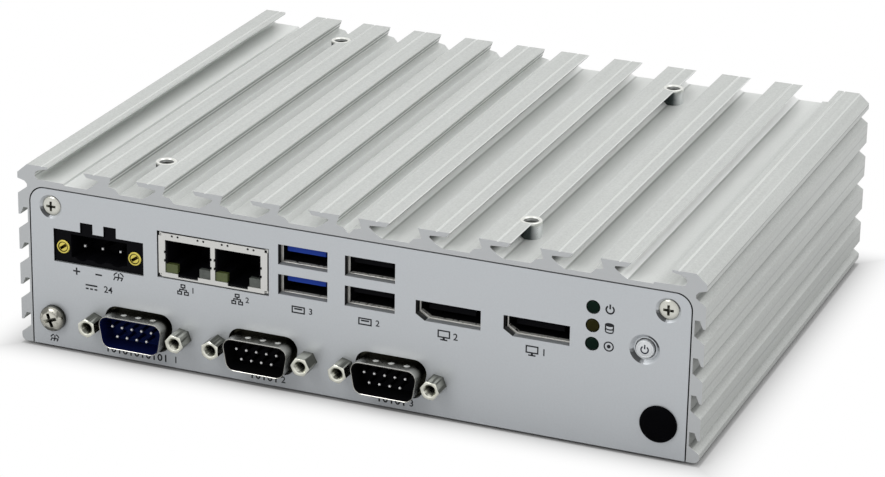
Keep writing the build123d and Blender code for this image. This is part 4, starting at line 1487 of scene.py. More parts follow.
@dataclass
class NetworkSockets:
    """Shielded pair of network sockets."""

    case: Case
    wall: float = 0.4
    port_pitch: float = 13.95
    port_width: float = 12.7
    port_height: float = 8.85
    port_drop: float = 1.85
    latch_width: float = 5.6
    hole_radius: float = 0.3
    hole_offset: float = 3.6
    hole_pitch: float = 1.6
    hole_drop: float = 0.6
    corner_relief: float = 0.8
    notches: tuple[float, ...] = (2.9, 5.2)
    notch_height: float = 0.7
    notch_depth: float = 0.35

    def shield(self) -> Shape:
        """Sheet shield with its two openings, side notches and rivet holes.

        Returns:
            The shield.
        """
        low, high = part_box("network_shield")
        width, height = (high.x - low.x) / MM, (high.z - low.z) / MM
        depth = (high.y - low.y) / MM
        body = Shape().prism(rectangle(width, height), -depth, 0.0)
        inner = rectangle(width - 2 * self.wall, height - 2 * self.wall)
        body.less(Shape().prism(inner, -depth - 1, -self.wall))
        middle = height / 2 - self.port_drop - self.port_height / 2
        cut = Shape()
        behind = -self.wall - 0.2
        outline = self.port_outline(middle - self.port_height / 2 + height / 2)
        hole = [(self.hole_radius, behind), (self.hole_radius, 1.0)]
        for side in (-1, 1):
            u = side * self.port_pitch / 2
            cut.prism(moved(outline, u, middle), behind, 1.0)
            for offset in (-self.hole_offset, self.hole_offset):
                for half in (-self.hole_pitch / 2, self.hole_pitch / 2):
                    cut.lathe(hole, 12, u + offset + half, height / 2 - self.hole_drop)
        relief = rectangle(self.corner_relief * 2, self.corner_relief * 2)
        for corner in ((-1, -1), (-1, 1), (1, -1), (1, 1)):
            cut.prism(moved(relief, corner[0] * width / 2, corner[1] * height / 2), behind, 1.0)
        return body.less(cut)

    def port_outline(self, latch_height: float) -> Loop2:
        """Outline of one opening, with its latch gap below and small notches at the sides.

        Args:
            latch_height: Height of the sheet under the opening.

        Returns:
            Points of the outline.
        """
        half, low, high = self.port_width / 2, -self.port_height / 2, self.port_height / 2
        latch = self.latch_width / 2
        floor = low - latch_height + self.wall
        right = [(latch, floor), (latch, low), (half, low)]
        for start in self.notches:
            bottom, top = low + start, low + (start + self.notch_height)
            right += [(half, bottom), (half + self.notch_depth, bottom)]
            right += [(half + self.notch_depth, top), (half, top)]
        right.append((half, high))
        left = [(-u, v) for u, v in reversed(right)]
        return right + left

    def build(self) -> None:
        """Make the shield and dress the body, lights and contacts."""
        low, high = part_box("network_shield")
        place = self.case.on_front((low.x + high.x) / 2 / MM, (low.z + high.z) / 2 / MM)
        self.shield().piece(
            "network_sheet_shield", place, TIN, Slot.TINNED, replaces=["network_shield"], bevel=0.08
        )
        dress("network_body", BLACK, 0.1)
        dress("network_lights_green", GREEN_WINDOW, 0.1)
        dress("network_lights_clear", CLEAR_WINDOW, 0.1)
        dress("network_wires", GOLD)


def socket_metal(name: str, shell: str) -> DeepMetal:
    """Finish of a socket's shell, bright at the front edge and with painted shade behind it.

    Args:
        name: Name of the finish.
        shell: CAD node of the shell.

    Returns:
        The finish.
    """
    return DeepMetal(
        name, (0.9, 0.89, 0.84), 0.35, metallic=0.5, blotch_size=3.0, specular=0.05,
        front=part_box(shell)[0].y / MM + 0.06, depth=0.1, lit_floor=0.85,
    )


@dataclass
class UsbSockets:
    """Two stacked pairs of usb sockets behind the panel."""

    case: Case

    def build(self) -> None:
        """Dress shells, tongues and contacts."""
        for pair, tongue in (("blue", BLUE), ("black", BLACK)):
            shell = f"usb_{pair}_shell"
            dress(shell, socket_metal("usb_sheet_metal", shell), 0.1)
            dress(f"usb_{pair}_tongues", tongue, 0.15)
        dress("usb_contacts", GOLD)


@dataclass
class DisplaySockets:
    """Two display sockets behind the panel."""

    case: Case

    def build(self) -> None:
        """Dress shells and tongues."""
        dress("display_shells", socket_metal("display_sheet_metal", "display_shells"), 0.08)
        dress("display_tongues", BLACK, 0.15)


@dataclass
class StatusLights:
    """Domed lenses in their holes."""

    case: Case
    radius: float = 1.65
    length: float = 4.0
    dome: float = 0.3
    sunk: float = 0.25

    def lens(self) -> Shape:
        """Lens with a round dome, the edge of which lies just under the face.

        Returns:
            The lens.
        """
        profile = [(self.radius, -self.length), (self.radius, -self.sunk)]
        rise = self.dome + self.sunk
        for step in range(1, 7):
            angle = math.radians(step * 14)
            profile.append((self.radius * math.cos(angle), rise * math.sin(angle) - self.sunk))
        profile.append((0.05, self.dome))
        return Shape().lathe(profile, 32)

    def build(self) -> None:
        """Make the lenses and dress their carrier."""
        for node, name, finish, slot in (
            ("status_lights_green", "green_lenses", GREEN_LENS, Slot.GREEN_LIGHT),
            ("status_light_amber", "amber_lens", AMBER_LENS, Slot.AMBER_LIGHT),
        ):
            self.lens().piece(name, self.case.seats(node), finish, slot, replaces=[node])
        dress("light_carrier", BLACK, 0.2)


@dataclass
class PushButton:
    """Power button with its printed sign."""

    case: Case
    radius: float = 2.35
    face: float = 0.0
    collar_radius: float = 3.3
    collar_depth: float = 2.3
    collar_thickness: float = 0.8
    stem_radius: float = 1.2
    sign_radius: float = 0.92
    sign_stroke: float = 0.34

    def cap(self) -> Shape:
        """Turned cap with a fine ring round its crown, its collar and its stem.

        Returns:
            The cap.
        """
        stem_end = -(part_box("power_button")[1].y / MM - self.case.front)
        collar_end = -self.collar_depth - self.collar_thickness
        face = self.face
        profile = [
            (self.stem_radius, stem_end),
            (self.stem_radius, collar_end),
            (self.collar_radius, collar_end),
            (self.collar_radius, -self.collar_depth),
            (self.radius, -self.collar_depth),
            (self.radius, face - 0.35),
            (self.radius - 0.1, face - 0.12),
            (self.radius - 0.32, face),
            (self.radius - 0.42, face),
            (self.radius - 0.5, face - 0.08),
            (self.radius - 0.6, face - 0.02),
            (0.1, face - 0.01),
        ]
        return Shape().lathe(profile, 48)

    def sign(self) -> Shape:
        """Plain power sign: an open ring with a stroke through its gap.

        Returns:
            The sign.
        """
        low, high = self.face - 0.02, self.face + 0.01
        ring = Shape().arc((0, -0.1), self.sign_radius, 125, 415, self.sign_stroke, low, high)
        return ring.bar((0, 0.1), (0, 1.2), self.sign_stroke, low, high)

    def build(self) -> None:
        """Make the button and its sign on the moving body."""
        place = self.case.seats("power_button")[0]
        self.cap().piece(
            "turned_button", place, BUTTON_METAL, Slot.PANELS, Body.BUTTON, replaces=["power_button"]
        )
        self.sign().piece("button_sign", place, DARK_INK, Slot.BLACK, Body.BUTTON)


@dataclass
class HolePlug:
    """Blind plug pushed into its hole."""

    case: Case
    radius: float = 4.8
    proud: float = 1.1
    body_radius: float = 3.85
    depth: float = 4.5

    def build(self) -> None:
        """Make the domed plug."""
        profile = [
            (self.body_radius - 0.6, -self.depth),
            (self.body_radius, -self.depth + 0.8),
            (self.body_radius, -1.9),
            (self.body_radius - 0.1, 0.0),
            (self.radius - 0.1, 0.0),
            (self.radius, 0.12),
            (self.radius - 0.05, 0.45),
            (self.radius * 0.9, self.proud * 0.75),
            (self.radius * 0.7, self.proud * 0.93),
            (0.2, self.proud),
        ]
        seats = self.case.seats("hole_plug")
        Shape().lathe(profile, 56).piece("domed_plug", seats, PLUG, Slot.BLACK, replaces=["hole_plug"])


@dataclass
class SerialPorts:
    """Three 9-pin ports with drawn shells, round pins and jackscrews."""

    case: Case
    width: float = 18.5
    height: float = 8.6
    corner: float = 2.4
    slant: float = 10.0
    wall: float = 0.4
    proud: float = 5.19
    flange_depth: float = 2.0
    flange_thickness: float = 0.8
    flange_width: float = 30.8
    flange_height: float = 12.4
    flange_corner: float = 1.2
    insulator_face: float = 0.6
    insulator_depth: float = 8.0
    island_inset: float = 1.0
    island_height: float = 0.35
    pin_radius: float = 0.42
    pin_short: float = 1.0
    pin_pitch: float = 2.77
    skin: float = 0.18
    row_pitch: float = 2.65
    row_lift: float = 0.1
    dimple_radius: float = 0.85
    dimple_pitch: float = 4.15
    dimple_offset: float = 1.05
    dimple_depth: float = 3.0
    jack_flats: float = 4.5
    jack_sides: int = 48
    jack_turns: tuple[int, ...] = (8, 20, 3, 27, 14, 22)
    jack_bore: float = 1.45
    jack_bore_depth: float = 4.6
    jack_mouth: float = 0.3
    thread_pitch: float = 0.6
    thread_depth: float = 0.24

    def outline(self, grow: float) -> Loop2:
        """The D outline, wide side up, grown all round.

        Args:
            grow: Distance that it grows by.

        Returns:
            Points of the outline, anticlockwise.
        """
        width, height = self.width + 2 * grow, self.height + 2 * grow
        lean = height * math.tan(math.radians(self.slant))
        corners = [
            (-width / 2 + lean, -height / 2),
            (width / 2 - lean, -height / 2),
            (width / 2, height / 2),
            (-width / 2, height / 2),
        ]
        return rounded(corners, self.corner + grow, 8)

    def shell(self) -> Shape:
        """Drawn shell with a rolled rim, and its flange behind the panel.

        Returns:
            The shell.
        """
        root = -self.flange_depth
        outside = [(0.0, root - self.flange_thickness), (0.0, self.proud - 0.45), (0.05, self.proud - 0.3),
                   (0.05, self.proud - 0.12), (0.0, self.proud - 0.02)]
        inside = [(-0.08, self.proud), (-self.skin, self.proud - 0.08), (-self.skin, self.proud - 0.2),
                  (-self.skin, root - self.flange_thickness)]
        tube = Shape().loft([at(self.outline(grow), w) for grow, w in outside + inside], ring=True)
        border = rounded(rectangle(self.flange_width, self.flange_height), self.flange_corner)
        plate = Shape().prism(border, root - self.flange_thickness, root)
        plate.less(Shape().prism(self.outline(-0.05), root - 2, root + 1))
        return tube.add(plate)

    def lining(self) -> Shape:
        """Inside of the shell, a lining that carries painted shade.

        Returns:
            The lining.
        """
        low, high = -self.insulator_face, self.proud - 0.14
        outer, inner = self.outline(-self.skin - 0.01), self.outline(-self.wall)
        return Shape().loft([at(outer, low), at(outer, high), at(inner, high), at(inner, low)], ring=True)

    def dimples(self) -> Shape:
        """Contact dimples pressed into the wide sides of the shell, drawn as shallow bright domes that paint
        their highlights.

        Returns:
            The dimples.
        """
        shape = Shape()
        for side in (1, -1):
            for index in (-1, 0, 1):
                u = (index * self.dimple_pitch + self.dimple_offset) * side
                v = side * (self.height / 2 - 0.02)
                w = self.proud - self.dimple_depth
                turned = Matrix.Translation((u, v, w)) @ Matrix.Diagonal((1.0, 0.12, 1.0, 1.0))
                bmesh.ops.create_icosphere(
                    shape.mesh, subdivisions=3, radius=self.dimple_radius, matrix=turned
                )
        return shape

    def insulator(self) -> Shape:
        """Moulded block with a raised island round its pins.

        Returns:
            The block.
        """
        face = -self.insulator_face
        front = self.outline(-self.wall - 0.02)
        step = self.outline(-self.wall - self.island_inset)
        back = -self.flange_depth - self.flange_thickness
        top = face + self.island_height
        block = Shape().loft([at(front, back), at(front, face), at(step, face), at(step, top)])
        rear = rectangle(self.width, self.height)
        return block.prism(rear, back - self.insulator_depth, back)

    def pins(self) -> Shape:
        """Nine round pins with rounded tips.

        Returns:
            The pins.
        """
        tip = self.proud - self.pin_short
        radius = self.pin_radius
        profile = [
            (radius, -self.insulator_face - 0.1), (radius, tip - 0.45), (radius * 0.85, tip - 0.2),
            (radius * 0.5, tip - 0.04), (0.1, tip),
        ]
        pins = Shape()
        for count, side in ((5, 1), (4, -1)):
            for index in range(count):
                u = (index - (count - 1) / 2) * self.pin_pitch
                pins.lathe(profile, 16, u, side * self.row_pitch / 2 + self.row_lift)
        return pins

    def jackscrew(self) -> Shape:
        """Hexagonal jackscrew with a chamfered front and a threaded bore.

        Returns:
            The jackscrew.
        """
        sides = self.jack_sides
        flat = self.jack_flats / 2
        rim = flat * 0.97
        top = self.proud
        body: Loop3 = []
        foot: Loop3 = []
        for index in range(sides):
            angle = 2 * math.pi * index / sides
            off = (angle + math.pi / 6) % (math.pi / 3) - math.pi / 6
            radius = flat / math.cos(off)
            drop = (radius - rim) * 0.55
            body.append((radius * math.cos(angle), radius * math.sin(angle), top - drop))
            foot.append((radius * math.cos(angle), radius * math.sin(angle), 0.0))
        mouth = circle(self.jack_bore + self.jack_mouth, sides)
        loops = [foot, body, at(circle(rim, sides), top), at(mouth, top)]
        w = top - self.jack_mouth
        loops.append(at(circle(self.jack_bore, sides), w))
        while w > top - self.jack_bore_depth + self.thread_pitch:
            loops.append(at(circle(self.jack_bore - self.thread_depth, sides), w - self.thread_pitch / 2))
            loops.append(at(circle(self.jack_bore, sides), w - self.thread_pitch))
            w -= self.thread_pitch
        loops.append(at(circle(0.2, sides), top - self.jack_bore_depth))
        return Shape().loft(loops)

    def build(self) -> None:
        """Make shells, insulators, pins and jackscrews, and dress the board behind."""
        case = self.case
        ports = case.seats("serial_shells")
        tip = case.front - self.proud
        # Painted shade towards the root of each shell and on sides turned from the light.
        drawn = NICKEL.become(
            ProudMetal, "drawn_nickel", grain_size=0.3, tip=tip + 0.4, root=tip + 3.8,
            root_color=(0.075, 0.073, 0.057), lit_above=True,
        )
        self.shell().piece("drawn_shells", ports, drawn, Slot.TINNED, replaces=["serial_shells"])
        # Painted highlights: bright domes on the shell's painted shade.
        self.dimples().piece("shell_dimple_highlights", ports, NICKEL, Slot.TINNED)
        # Painted shade on the inside of each shell.
        self.lining().piece("navy_shaded_shell_inside", ports[:1], NAVY_SHADED_NICKEL, Slot.TINNED)
        self.lining().piece("shaded_shell_insides", ports[1:], SHADED_NICKEL, Slot.TINNED)
        self.insulator().piece(
            "navy_insulator", ports[:1], NAVY, Slot.BLUE, replaces=["serial_insulator_blue"], bevel=0.1
        )
        self.insulator().piece(
            "black_insulators", ports[1:], BLACK, Slot.BLACK, replaces=["serial_insulators_black"], bevel=0.1
        )
        short = tip + self.pin_short
        # Painted shade on the pins behind their tips, navy in the blue port.
        for name, seats, root_color in (
            ("navy_port_pins", ports[:1], (0.003, 0.007, 0.06)),
            ("black_port_pins", ports[1:], (0.002, 0.002, 0.003)),
        ):
            thin = PIN_TIN.become(
                ProudMetal, f"tin_of_{name}", specular=0.1, tip=short + 0.15, root=short + 0.5,
                root_color=root_color,
            )
            self.pins().piece(name, seats, thin, Slot.TINNED, replaces=["serial_pins"])
        seats = [
            place @ Matrix.Rotation(math.radians(turn), 4, "Z")
            for place, turn in zip(case.seats("serial_jackscrews"), self.jack_turns)
        ]
        # Painted shade towards the root and painted dark reflections in streaks on the jackscrews.
        turned = ProudMetal(
            "jackscrew_nickel", (0.72, 0.72, 0.64), 0.24, metallic=1.0, blotch_size=1.5, blotch=0.15,
            grain_depth=0.004, tip=tip + 0.15, root=tip + 5.2, root_color=(0.06, 0.062, 0.05),
            streak=0.9, streak_size=1.2, side=0.35,
        )
        self.jackscrew().piece(
            "hexagonal_jackscrews", seats, turned, Slot.FASTENERS, replaces=["serial_jackscrews"], smooth=25
        )
        dress("serial_board", BOARD)
        dress("board_link", BLACK)


@dataclass
class PrintedSigns:
    """Generic signs and numbers printed on the front panel."""

    case: Case
    ink: float = 0.02
    stroke: float = 0.42
    thin: float = 0.33
    row: float = 22.0
    low_row: float = 18.2
    network_signs: tuple[float, ...] = (-45.7, -30.5)
    network_figures: tuple[float, ...] = (-42.9, -27.7)
    polarity_gap: float = 6.4
    light_gap: float = 4.3
    serial_row: float = 2.05
    serial_height: float = 2.0
    serial_pitch: float = 1.66

    def span(self) -> Point2:
        """Lower and upper height of the ink."""
        return (-0.01, self.ink)

    def plus_minus(self, shape: Shape, u: float) -> None:
        """Plus and minus signs under the power header.

        Args:
            shape: Shape that the signs are added to.
            u: Middle of the header along X.
        """
        low, high = self.span()
        half = self.stroke / 2
        left = u - self.polarity_gap
        shape.bar((left - 1.0, self.row), (left + 1.0, self.row), self.stroke, low, high)
        shape.bar((left, self.row - 1.0), (left, self.row - half), self.stroke, low, high)
        shape.bar((left, self.row + half), (left, self.row + 1.0), self.stroke, low, high)
        shape.bar((u - 1.0, self.row), (u + 0.9, self.row), self.stroke, low, high)

    def earth(self, shape: Shape, u: float, v: float, size: float = 1.0) -> None:
        """Earth sign: a stroke down to a bar with three slanted feet under an arch.

        Args:
            shape: Shape that the sign is added to.
            u: Its middle along X.
            v: Height of its bar.
            size: Factor on its size.
        """
        low, high = self.span()
        width = self.thin
        shape.bar((u, v + 1.1 * size), (u, v + width / 2), width, low, high)
        shape.bar((u - 1.25 * size, v), (u + 1.25 * size, v), width, low, high)
        for offset in (-1.05, 0.0, 1.05):
            foot = (u + (offset - 0.4) * size, v - 0.85 * size)
            shape.bar((u + offset * size, v - width / 2), foot, width, low, high)
        shape.arc((u, v - 0.1), 1.45 * size, 20, 76, width, low, high)
        shape.arc((u, v - 0.1), 1.45 * size, 104, 160, width, low, high)

    def direct_current(self, shape: Shape, u: float, v: float) -> None:
        """Direct current sign: a line over three dashes.

        Args:
            shape: Shape that the sign is added to.
            u: Its middle along X.
            v: Its middle along Z.
        """
        low, high = self.span()
        shape.bar((u - 1.7, v + 0.5), (u + 1.7, v + 0.5), self.stroke, low, high)
        for offset in (-1.25, 0.0, 1.25):
            shape.bar((u + offset - 0.4, v - 0.5), (u + offset + 0.4, v - 0.5), self.stroke, low, high)

    def network(self, shape: Shape, u: float, v: float) -> None:
        """Network sign: one box over two, joined by lines.

        Args:
            shape: Shape that the sign is added to.
            u: Its middle along X.
            v: Its middle along Z.
        """
        low, high = self.span()
        for du, dv in ((0.0, 0.95), (-0.95, -0.95), (0.95, -0.95)):
            self.frame(shape, u + du, v + dv, 1.05, 0.75, self.thin)
        shape.bar((u, v + 0.5), (u, v + self.thin / 2), self.thin, low, high)
        shape.bar((u - 1.1, v), (u + 1.1, v), self.thin, low, high)
        for offset in (-0.95, 0.95):
            shape.bar((u + offset, v - self.thin / 2), (u + offset, v - 0.5), self.thin, low, high)

    def frame(self, shape: Shape, u: float, v: float, width: float, height: float, line: float) -> None:
        """Open rectangle drawn with four strokes.

        Args:
            shape: Shape that the strokes are added to.
            u: Its middle along X.
            v: Its middle along Z.
            width: Width between the middles of its sides.
            height: Height between the middles of its bars.
            line: Width of its strokes.
        """
        low, high = self.span()
        half, tall = width / 2 + line / 2, height / 2
        for side in (-tall, tall):
            shape.bar((u - half, v + side), (u + half, v + side), line, low, high)
        for side in (-width / 2, width / 2):
            shape.bar((u + side, v - tall + line / 2), (u + side, v + tall - line / 2), line, low, high)

    def screen(self, shape: Shape, u: float, v: float) -> None:
        """Display sign: a screen on a foot.

        Args:
            shape: Shape that the sign is added to.
            u: Its middle along X.
            v: Its middle along Z.
        """
        low, high = self.span()
        self.frame(shape, u, v + 0.35, 3.0, 1.7, 0.36)
        shape.bar((u, v - 0.68), (u, v - 1.02), 0.6, low, high)
        shape.bar((u - 0.95, v - 1.2), (u + 0.95, v - 1.2), 0.36, low, high)

    def socket(self, shape: Shape, u: float, v: float) -> None:
        """Socket sign: a flat opening with its tongue.

        Args:
            shape: Shape that the sign is added to.
            u: Its middle along X.
            v: Its middle along Z.
        """
        low, high = self.span()
        self.frame(shape, u, v, 3.3, 1.6, 0.36)
        shape.bar((u - 1.1, v + 0.22), (u + 1.1, v + 0.22), 0.42, low, high)

    def serial(self, shape: Shape, u: float, v: float, count: int) -> None:
        """Serial sign: strokes and rings in turn.

        Args:
            shape: Shape that the sign is added to.
            u: Its middle along X.
            v: Its middle along Z.
            count: Number of strokes and rings.
        """
        low, high = self.span()
        tall = self.serial_height / 2
        for index in range(count):
            place = u + (index - (count - 1) / 2) * self.serial_pitch
            if index % 2:
                hole = [(place + x * 0.32, v + y * (tall - self.stroke)) for x, y in circle(1.0, 20)]
                wide = [(place + x * 0.72, v + y * tall) for x, y in circle(1.0, 20)]
                shape.loft([at(hole, low), at(wide, low), at(wide, high), at(hole, high)], ring=True)
            else:
                shape.bar((place, v - tall), (place, v + tall), self.stroke, low, high)

    def power(self, shape: Shape, u: float, v: float) -> None:
        """Power sign beside its light.

        Args:
            shape: Shape that the sign is added to.
            u: Its middle along X.
            v: Its middle along Z.
        """
        low, high = self.span()
        shape.arc((u, v), 1.0, 125, 415, self.stroke, low, high)
        shape.bar((u, v + 0.15), (u, v + 1.4), self.stroke, low, high)

    def store(self, shape: Shape, u: float, v: float) -> None:
        """Storage sign: a drum.

        Args:
            shape: Shape that the sign is added to.
            u: Its middle along X.
            v: Its middle along Z.
        """
        low, high = self.span()
        shape.prism(moved([(x * 1.05, y * 0.45) for x, y in circle(1.1, 24)], u, v + 0.85), low, high)
        shape.bar((u - 1.0, v + 0.8), (u - 1.0, v - 0.8), self.thin, low, high)
        shape.bar((u + 1.0, v + 0.8), (u + 1.0, v - 0.8), self.thin, low, high)
        for drop in (0.0, 0.85):
            angles = [math.radians(180 + step * 22.5) for step in range(9)]
            points = [(u + math.cos(angle), v - drop - 0.02 + 0.42 * math.sin(angle)) for angle in angles]
            for start, end in zip(points, points[1:]):
                shape.bar(start, end, self.thin, low, high)

    def ready(self, shape: Shape, u: float, v: float) -> None:
        """Ready sign: a dot in a ring.

        Args:
            shape: Shape that the sign is added to.
            u: Its middle along X.
            v: Its middle along Z.
        """
        low, high = self.span()
        shape.arc((u, v), 1.15, 0, 360, self.thin, low, high)
        shape.prism(moved(circle(0.5, 16), u, v), low, high)

    def number(self, text: str, u: float, v: float, size: float) -> bpy.types.Object:
        """Printed number.

        Args:
            text: Its figures.
            u: Middle along X.
            v: Middle along Z.
            size: Height of a figure.

        Returns:
            The new object.
        """
        curve = bpy.data.curves.new("figures", "FONT")
        curve.body = text
        curve.size = size / 0.7
        curve.extrude = self.ink / 2
        curve.offset = 0.035
        curve.align_x = "CENTER"
        curve.align_y = "CENTER"
        holder = bpy.data.objects.new("figures", curve)
        bpy.context.scene.collection.objects.link(holder)
        bpy.context.view_layer.update()
        flat = bpy.data.meshes.new_from_object(holder.evaluated_get(bpy.context.evaluated_depsgraph_get()))
        bpy.data.objects.remove(holder)
        shape = Shape()
        shape.mesh.from_mesh(flat)
        bpy.data.meshes.remove(flat)
        bmesh.ops.translate(shape.mesh, verts=shape.mesh.verts[:], vec=(0, 0, self.ink / 2))
        name = f"figure_{text}_{round(abs(u))}_{round(v)}"
        return shape.piece(name, self.case.on_front(u, v), INK, Slot.BLACK)

    def build(self) -> None:
        """Print all signs and numbers."""
        case = self.case
        header = case.middles("power_header", 0, 2)[0][0]
        ports = sorted(x for x, _ in case.middles("serial_shells", 0, 2))
        screens = sorted(x for x, _ in case.middles("display_shells", 0, 2))
        pairs = [case.middles(f"usb_{pair}_shell", 0, 2)[0][0] for pair in ("blue", "black")]
        lights = case.middles("status_lights_green", 0, 2) + case.middles("status_light_amber", 0, 2)
        lights.sort(key=lambda middle: middle[1])
        shape = Shape()
        self.plus_minus(shape, header)
        self.earth(shape, header + 5.7, self.row + 0.2)
        self.earth(shape, case.middles("ground_screw", 0, 2)[0][0], 1.95, 0.85)
        self.direct_current(shape, header - 2.2, self.low_row)
        for u in self.network_signs:
            self.network(shape, u, self.row)
        for u in pairs:
            self.socket(shape, u - 1.2, self.row)
        for u in screens:
            self.screen(shape, u - 1.0, self.row)
        for index, u in enumerate(ports):
            self.serial(shape, u + (0.3 if index else -0.7), self.serial_row, 5 if index else 11)
        for draw, (u, v) in zip((self.ready, self.store, self.power), lights):
            draw(shape, u + self.light_gap, v)
        shape.piece("panel_signs", case.on_front(0.0, 0.0), INK, Slot.BLACK)
        self.number("24", header + 2.6, self.low_row, 1.75)
        for text, u in zip("12", self.network_figures):
            self.number(text, u, self.row + 0.1, 1.5)
        for text, u in (("3", pairs[0] + 2.2), ("2", pairs[1] + 2.2)):
            self.number(text, u, self.row, 1.6)
        for text, u in (("2", screens[0] + 2.1), ("1", screens[1] + 2.1)):
            self.number(text, u, self.row, 1.8)
        for index, u in enumerate(ports):
            self.number(str(index + 1), u + (5.7 if index else 10.5), self.serial_row, 1.75)


@dataclass
class InnerParts:
    """Boards, cooling block and parts inside the case."""

    case: Case

    def build(self) -> None:
        """Dress every piece inside."""
        for node in ("main_board", "memory_module", "drive_card"):
            dress(node, BOARD)
        moulded = (
            "processor", "coils", "memory_socket", "drive_socket", "coin_cell_holder", "button_switch",
        )
        for node in moulded:
            dress(node, CHIP)
        for node in ("board_spacers", "board_screws", "drive_post", "capacitors", "coin_cell"):
            dress(node, TIN)
        dress("heat_spreader", HOUSING)
        dress("thermal_pads", PAD)


# Studio


@dataclass
class Lamp:
    """Square soft lamp that points at the case."""

    name: str
    place: Point3
    aim: Point3
    size: float
    power: float

    def build(self) -> None:
        """Make the lamp."""
        data = bpy.data.lights.new(self.name, "AREA")
        data.shape = "SQUARE"
        data.size = self.size
        data.energy = self.power
        made = bpy.data.objects.new(self.name, data)
        made.location = self.place
        made.rotation_mode = "QUATERNION"
        made.rotation_quaternion = (Vector(self.aim) - Vector(self.place)).to_track_quat("-Z", "Y")
        bpy.context.scene.collection.objects.link(made)


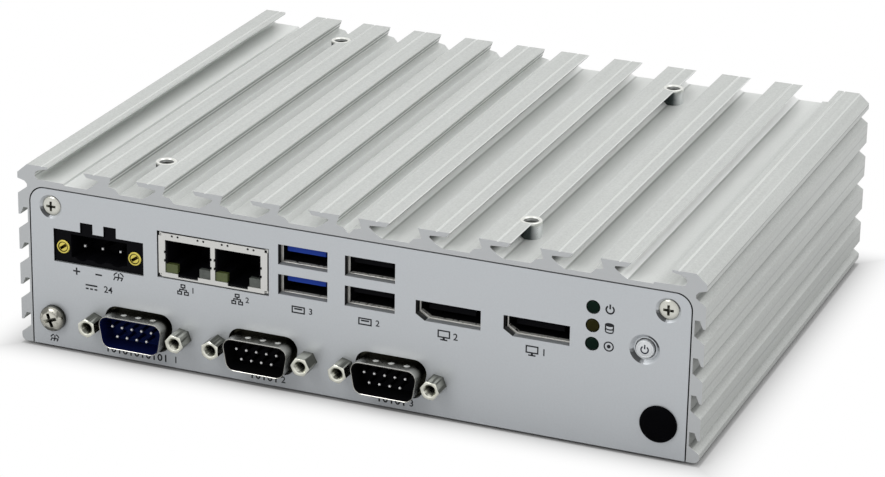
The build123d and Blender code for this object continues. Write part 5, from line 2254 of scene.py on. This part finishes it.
@dataclass
class Studio:
    """White floor, even surroundings and soft lamps."""

    floor_radius: float = 4.0
    floor_drop: float = 0.8
    # Grey of the floor, which paints shadow beside the case.
    floor_color: Color = (0.55, 0.55, 0.55)
    fleck: float = 0.005
    fleck_size: float = 60.0
    shown: float = 1.0
    surroundings: float = 0.72
    shade_reach: float = 13.0
    near_glow: float = 0.26
    contact: float = 0.4
    mirror_reach: float = 60.0
    lamps: Sequence[Lamp] = (
        Lamp("overhead_lamp", (-0.2, 0.1, 1.4), (0.0, 0.0, 0.0), 1.2, 2.5),
        Lamp("side_lamp", (0.65, 0.1, 1.05), (0.0, 0.0, 0.03), 0.8, 2.4),
        Lamp("front_lamp", (-0.45, -0.9, 0.8), (0.0, 0.0, 0.02), 0.5, 3.0),
    )

    def world(self) -> None:
        """Surroundings that look white and light the case at a plain level."""
        world = bpy.data.worlds.new("surroundings")
        bpy.context.scene.world = world
        world.use_nodes = True
        graph = Graph(world.node_tree)
        seen = self.seen(graph)
        strength = seen * (self.shown - self.surroundings) + self.surroundings
        sky = graph.node("ShaderNodeBackground", None, {"Color": (1, 1, 1, 1), "Strength": strength})
        graph.node("ShaderNodeOutputWorld", None, {"Surface": sky.outputs[0]})

    def seen(self, graph: Graph) -> Value:
        """1 for rays from the camera, off gloss and through clear pieces, else 0.

        Args:
            graph: Node tree that asks.

        Returns:
            The mask.
        """
        path = graph.node("ShaderNodeLightPath")
        names = ("Is Camera Ray", "Is Glossy Ray", "Is Transmission Ray")
        camera, gloss, clear = (Value(graph, path.outputs[name]) for name in names)
        return camera.at_least(gloss).at_least(clear)

    def shown_white(self, graph: Graph) -> Value:
        """How far the floor shows as plain white, less beside the case than far from it, where its grey
        colour paints shadow.

        Args:
            graph: Node tree of the floor's material.

        Returns:
            The mask.
        """
        low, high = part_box("housing")
        place = graph.place()
        apart = [
            abs(graph.axis(place, name) - (low[index] + high[index]) / 2) - (high[index] - low[index]) / 2
            for index, name in enumerate("XY")
        ]
        gap = apart[0].at_least(apart[1])
        near = gap.step(0.0, self.contact * MM)
        far = gap.step(0.0, self.shade_reach * MM)
        # Beside the case the floor shows its grey colour: partly real shadow, partly painted shadow.
        shown = near * self.near_glow + far * (2.0 - far) * (1.0 - self.near_glow)
        camera = Value(graph, graph.node("ShaderNodeLightPath").outputs["Is Camera Ray"])
        # Painted shade in reflections of the floor near the case.
        mirrored = gap.step(0.0, self.mirror_reach * MM)
        return camera * shown + (self.seen(graph) - camera) * mirrored

    def paper(self) -> bpy.types.Material:
        """White paper that keeps the shadow of the case, with painted shadow from its grey colour beside the
        case.

        Returns:
            The material.
        """
        made = bpy.data.materials.new("white_paper")
        made.use_nodes = True
        graph = Graph(made.node_tree)
        pale, deep = shade(self.floor_color, 1 + self.fleck), shade(self.floor_color, 1 - self.fleck)
        fleck = graph.tint(graph.noise(self.fleck_size, 2.0), deep, pale)
        diffuse = graph.node("ShaderNodeBsdfDiffuse", None, {"Color": fleck})
        glow = graph.node("ShaderNodeEmission", None, {"Strength": 1.0})
        inputs = {0: self.shown_white(graph), 1: diffuse.outputs[0], 2: glow.outputs[0]}
        mixed = graph.node("ShaderNodeMixShader", None, inputs)
        graph.node("ShaderNodeOutputMaterial", None, {"Surface": mixed.outputs[0]})
        return made

    def floor(self) -> None:
        """Floor under the case."""
        disc = Shape().prism(circle(self.floor_radius / MM, 96), -1.0, -self.floor_drop)
        bmesh.ops.recalc_face_normals(disc.mesh, faces=disc.mesh.faces[:])
        data = bpy.data.meshes.new("studio_floor")
        disc.mesh.to_mesh(data)
        disc.mesh.free()
        data.transform(Matrix.Scale(MM, 4))
        made = bpy.data.objects.new("studio_floor", data)
        bpy.context.scene.collection.objects.link(made)
        data.materials.append(self.paper())

    def build(self) -> None:
        """Make the surroundings, the floor and the lamps."""
        self.world()
        self.floor()
        for lamp in self.lamps:
            lamp.build()
        view = bpy.context.scene.view_settings
        view.view_transform = "Standard"


@dataclass
class ProductCamera:
    """Camera at the photograph's place, in millimetres and degrees."""

    place: Point3 = (299.18, -760.69, 338.35)
    azimuth: float = 21.728
    elevation: float = 21.432
    roll: float = 1.057
    lens: float = 132.95
    sensor: float = 36.0

    def build(self) -> None:
        """Make the camera and set it as the scene's own."""
        a, e, r = (math.radians(angle) for angle in (self.azimuth, self.elevation, self.roll))
        back = Vector((math.sin(a) * math.cos(e), -math.cos(a) * math.cos(e), math.sin(e)))
        right = Vector((math.cos(a), math.sin(a), 0.0))
        above = back.cross(right)
        x_axis = right * math.cos(r) + above * math.sin(r)
        y_axis = above * math.cos(r) - right * math.sin(r)
        data = bpy.data.cameras.new("product_camera")
        data.lens = self.lens
        data.sensor_width = self.sensor
        data.clip_start = 0.05
        data.clip_end = 20.0
        made = bpy.data.objects.new("product_camera", data)
        turned = Matrix((x_axis, y_axis, back)).transposed().to_4x4()
        made.matrix_world = Matrix.Translation(Vector(self.place) * MM) @ turned
        bpy.context.scene.collection.objects.link(made)
        bpy.context.scene.camera = made


def main() -> None:
    """Build the studio and every sub-assembly in order."""
    logging.basicConfig(level=logging.INFO, format="%(name)s: %(message)s")
    case = Case()
    builders = (
        ProductCamera(),
        Studio(),
        Enclosure(case),
        Fasteners(case),
        MountingPillars(case),
        PowerInlet(case),
        NetworkSockets(case),
        UsbSockets(case),
        DisplaySockets(case),
        StatusLights(case),
        PushButton(case),
        HolePlug(case),
        SerialPorts(case),
        PrintedSigns(case),
        InnerParts(case),
    )
    for builder in builders:
        builder.build()
        LOG.info("built %s", type(builder).__name__)


if __name__ == "__main__":
    main()
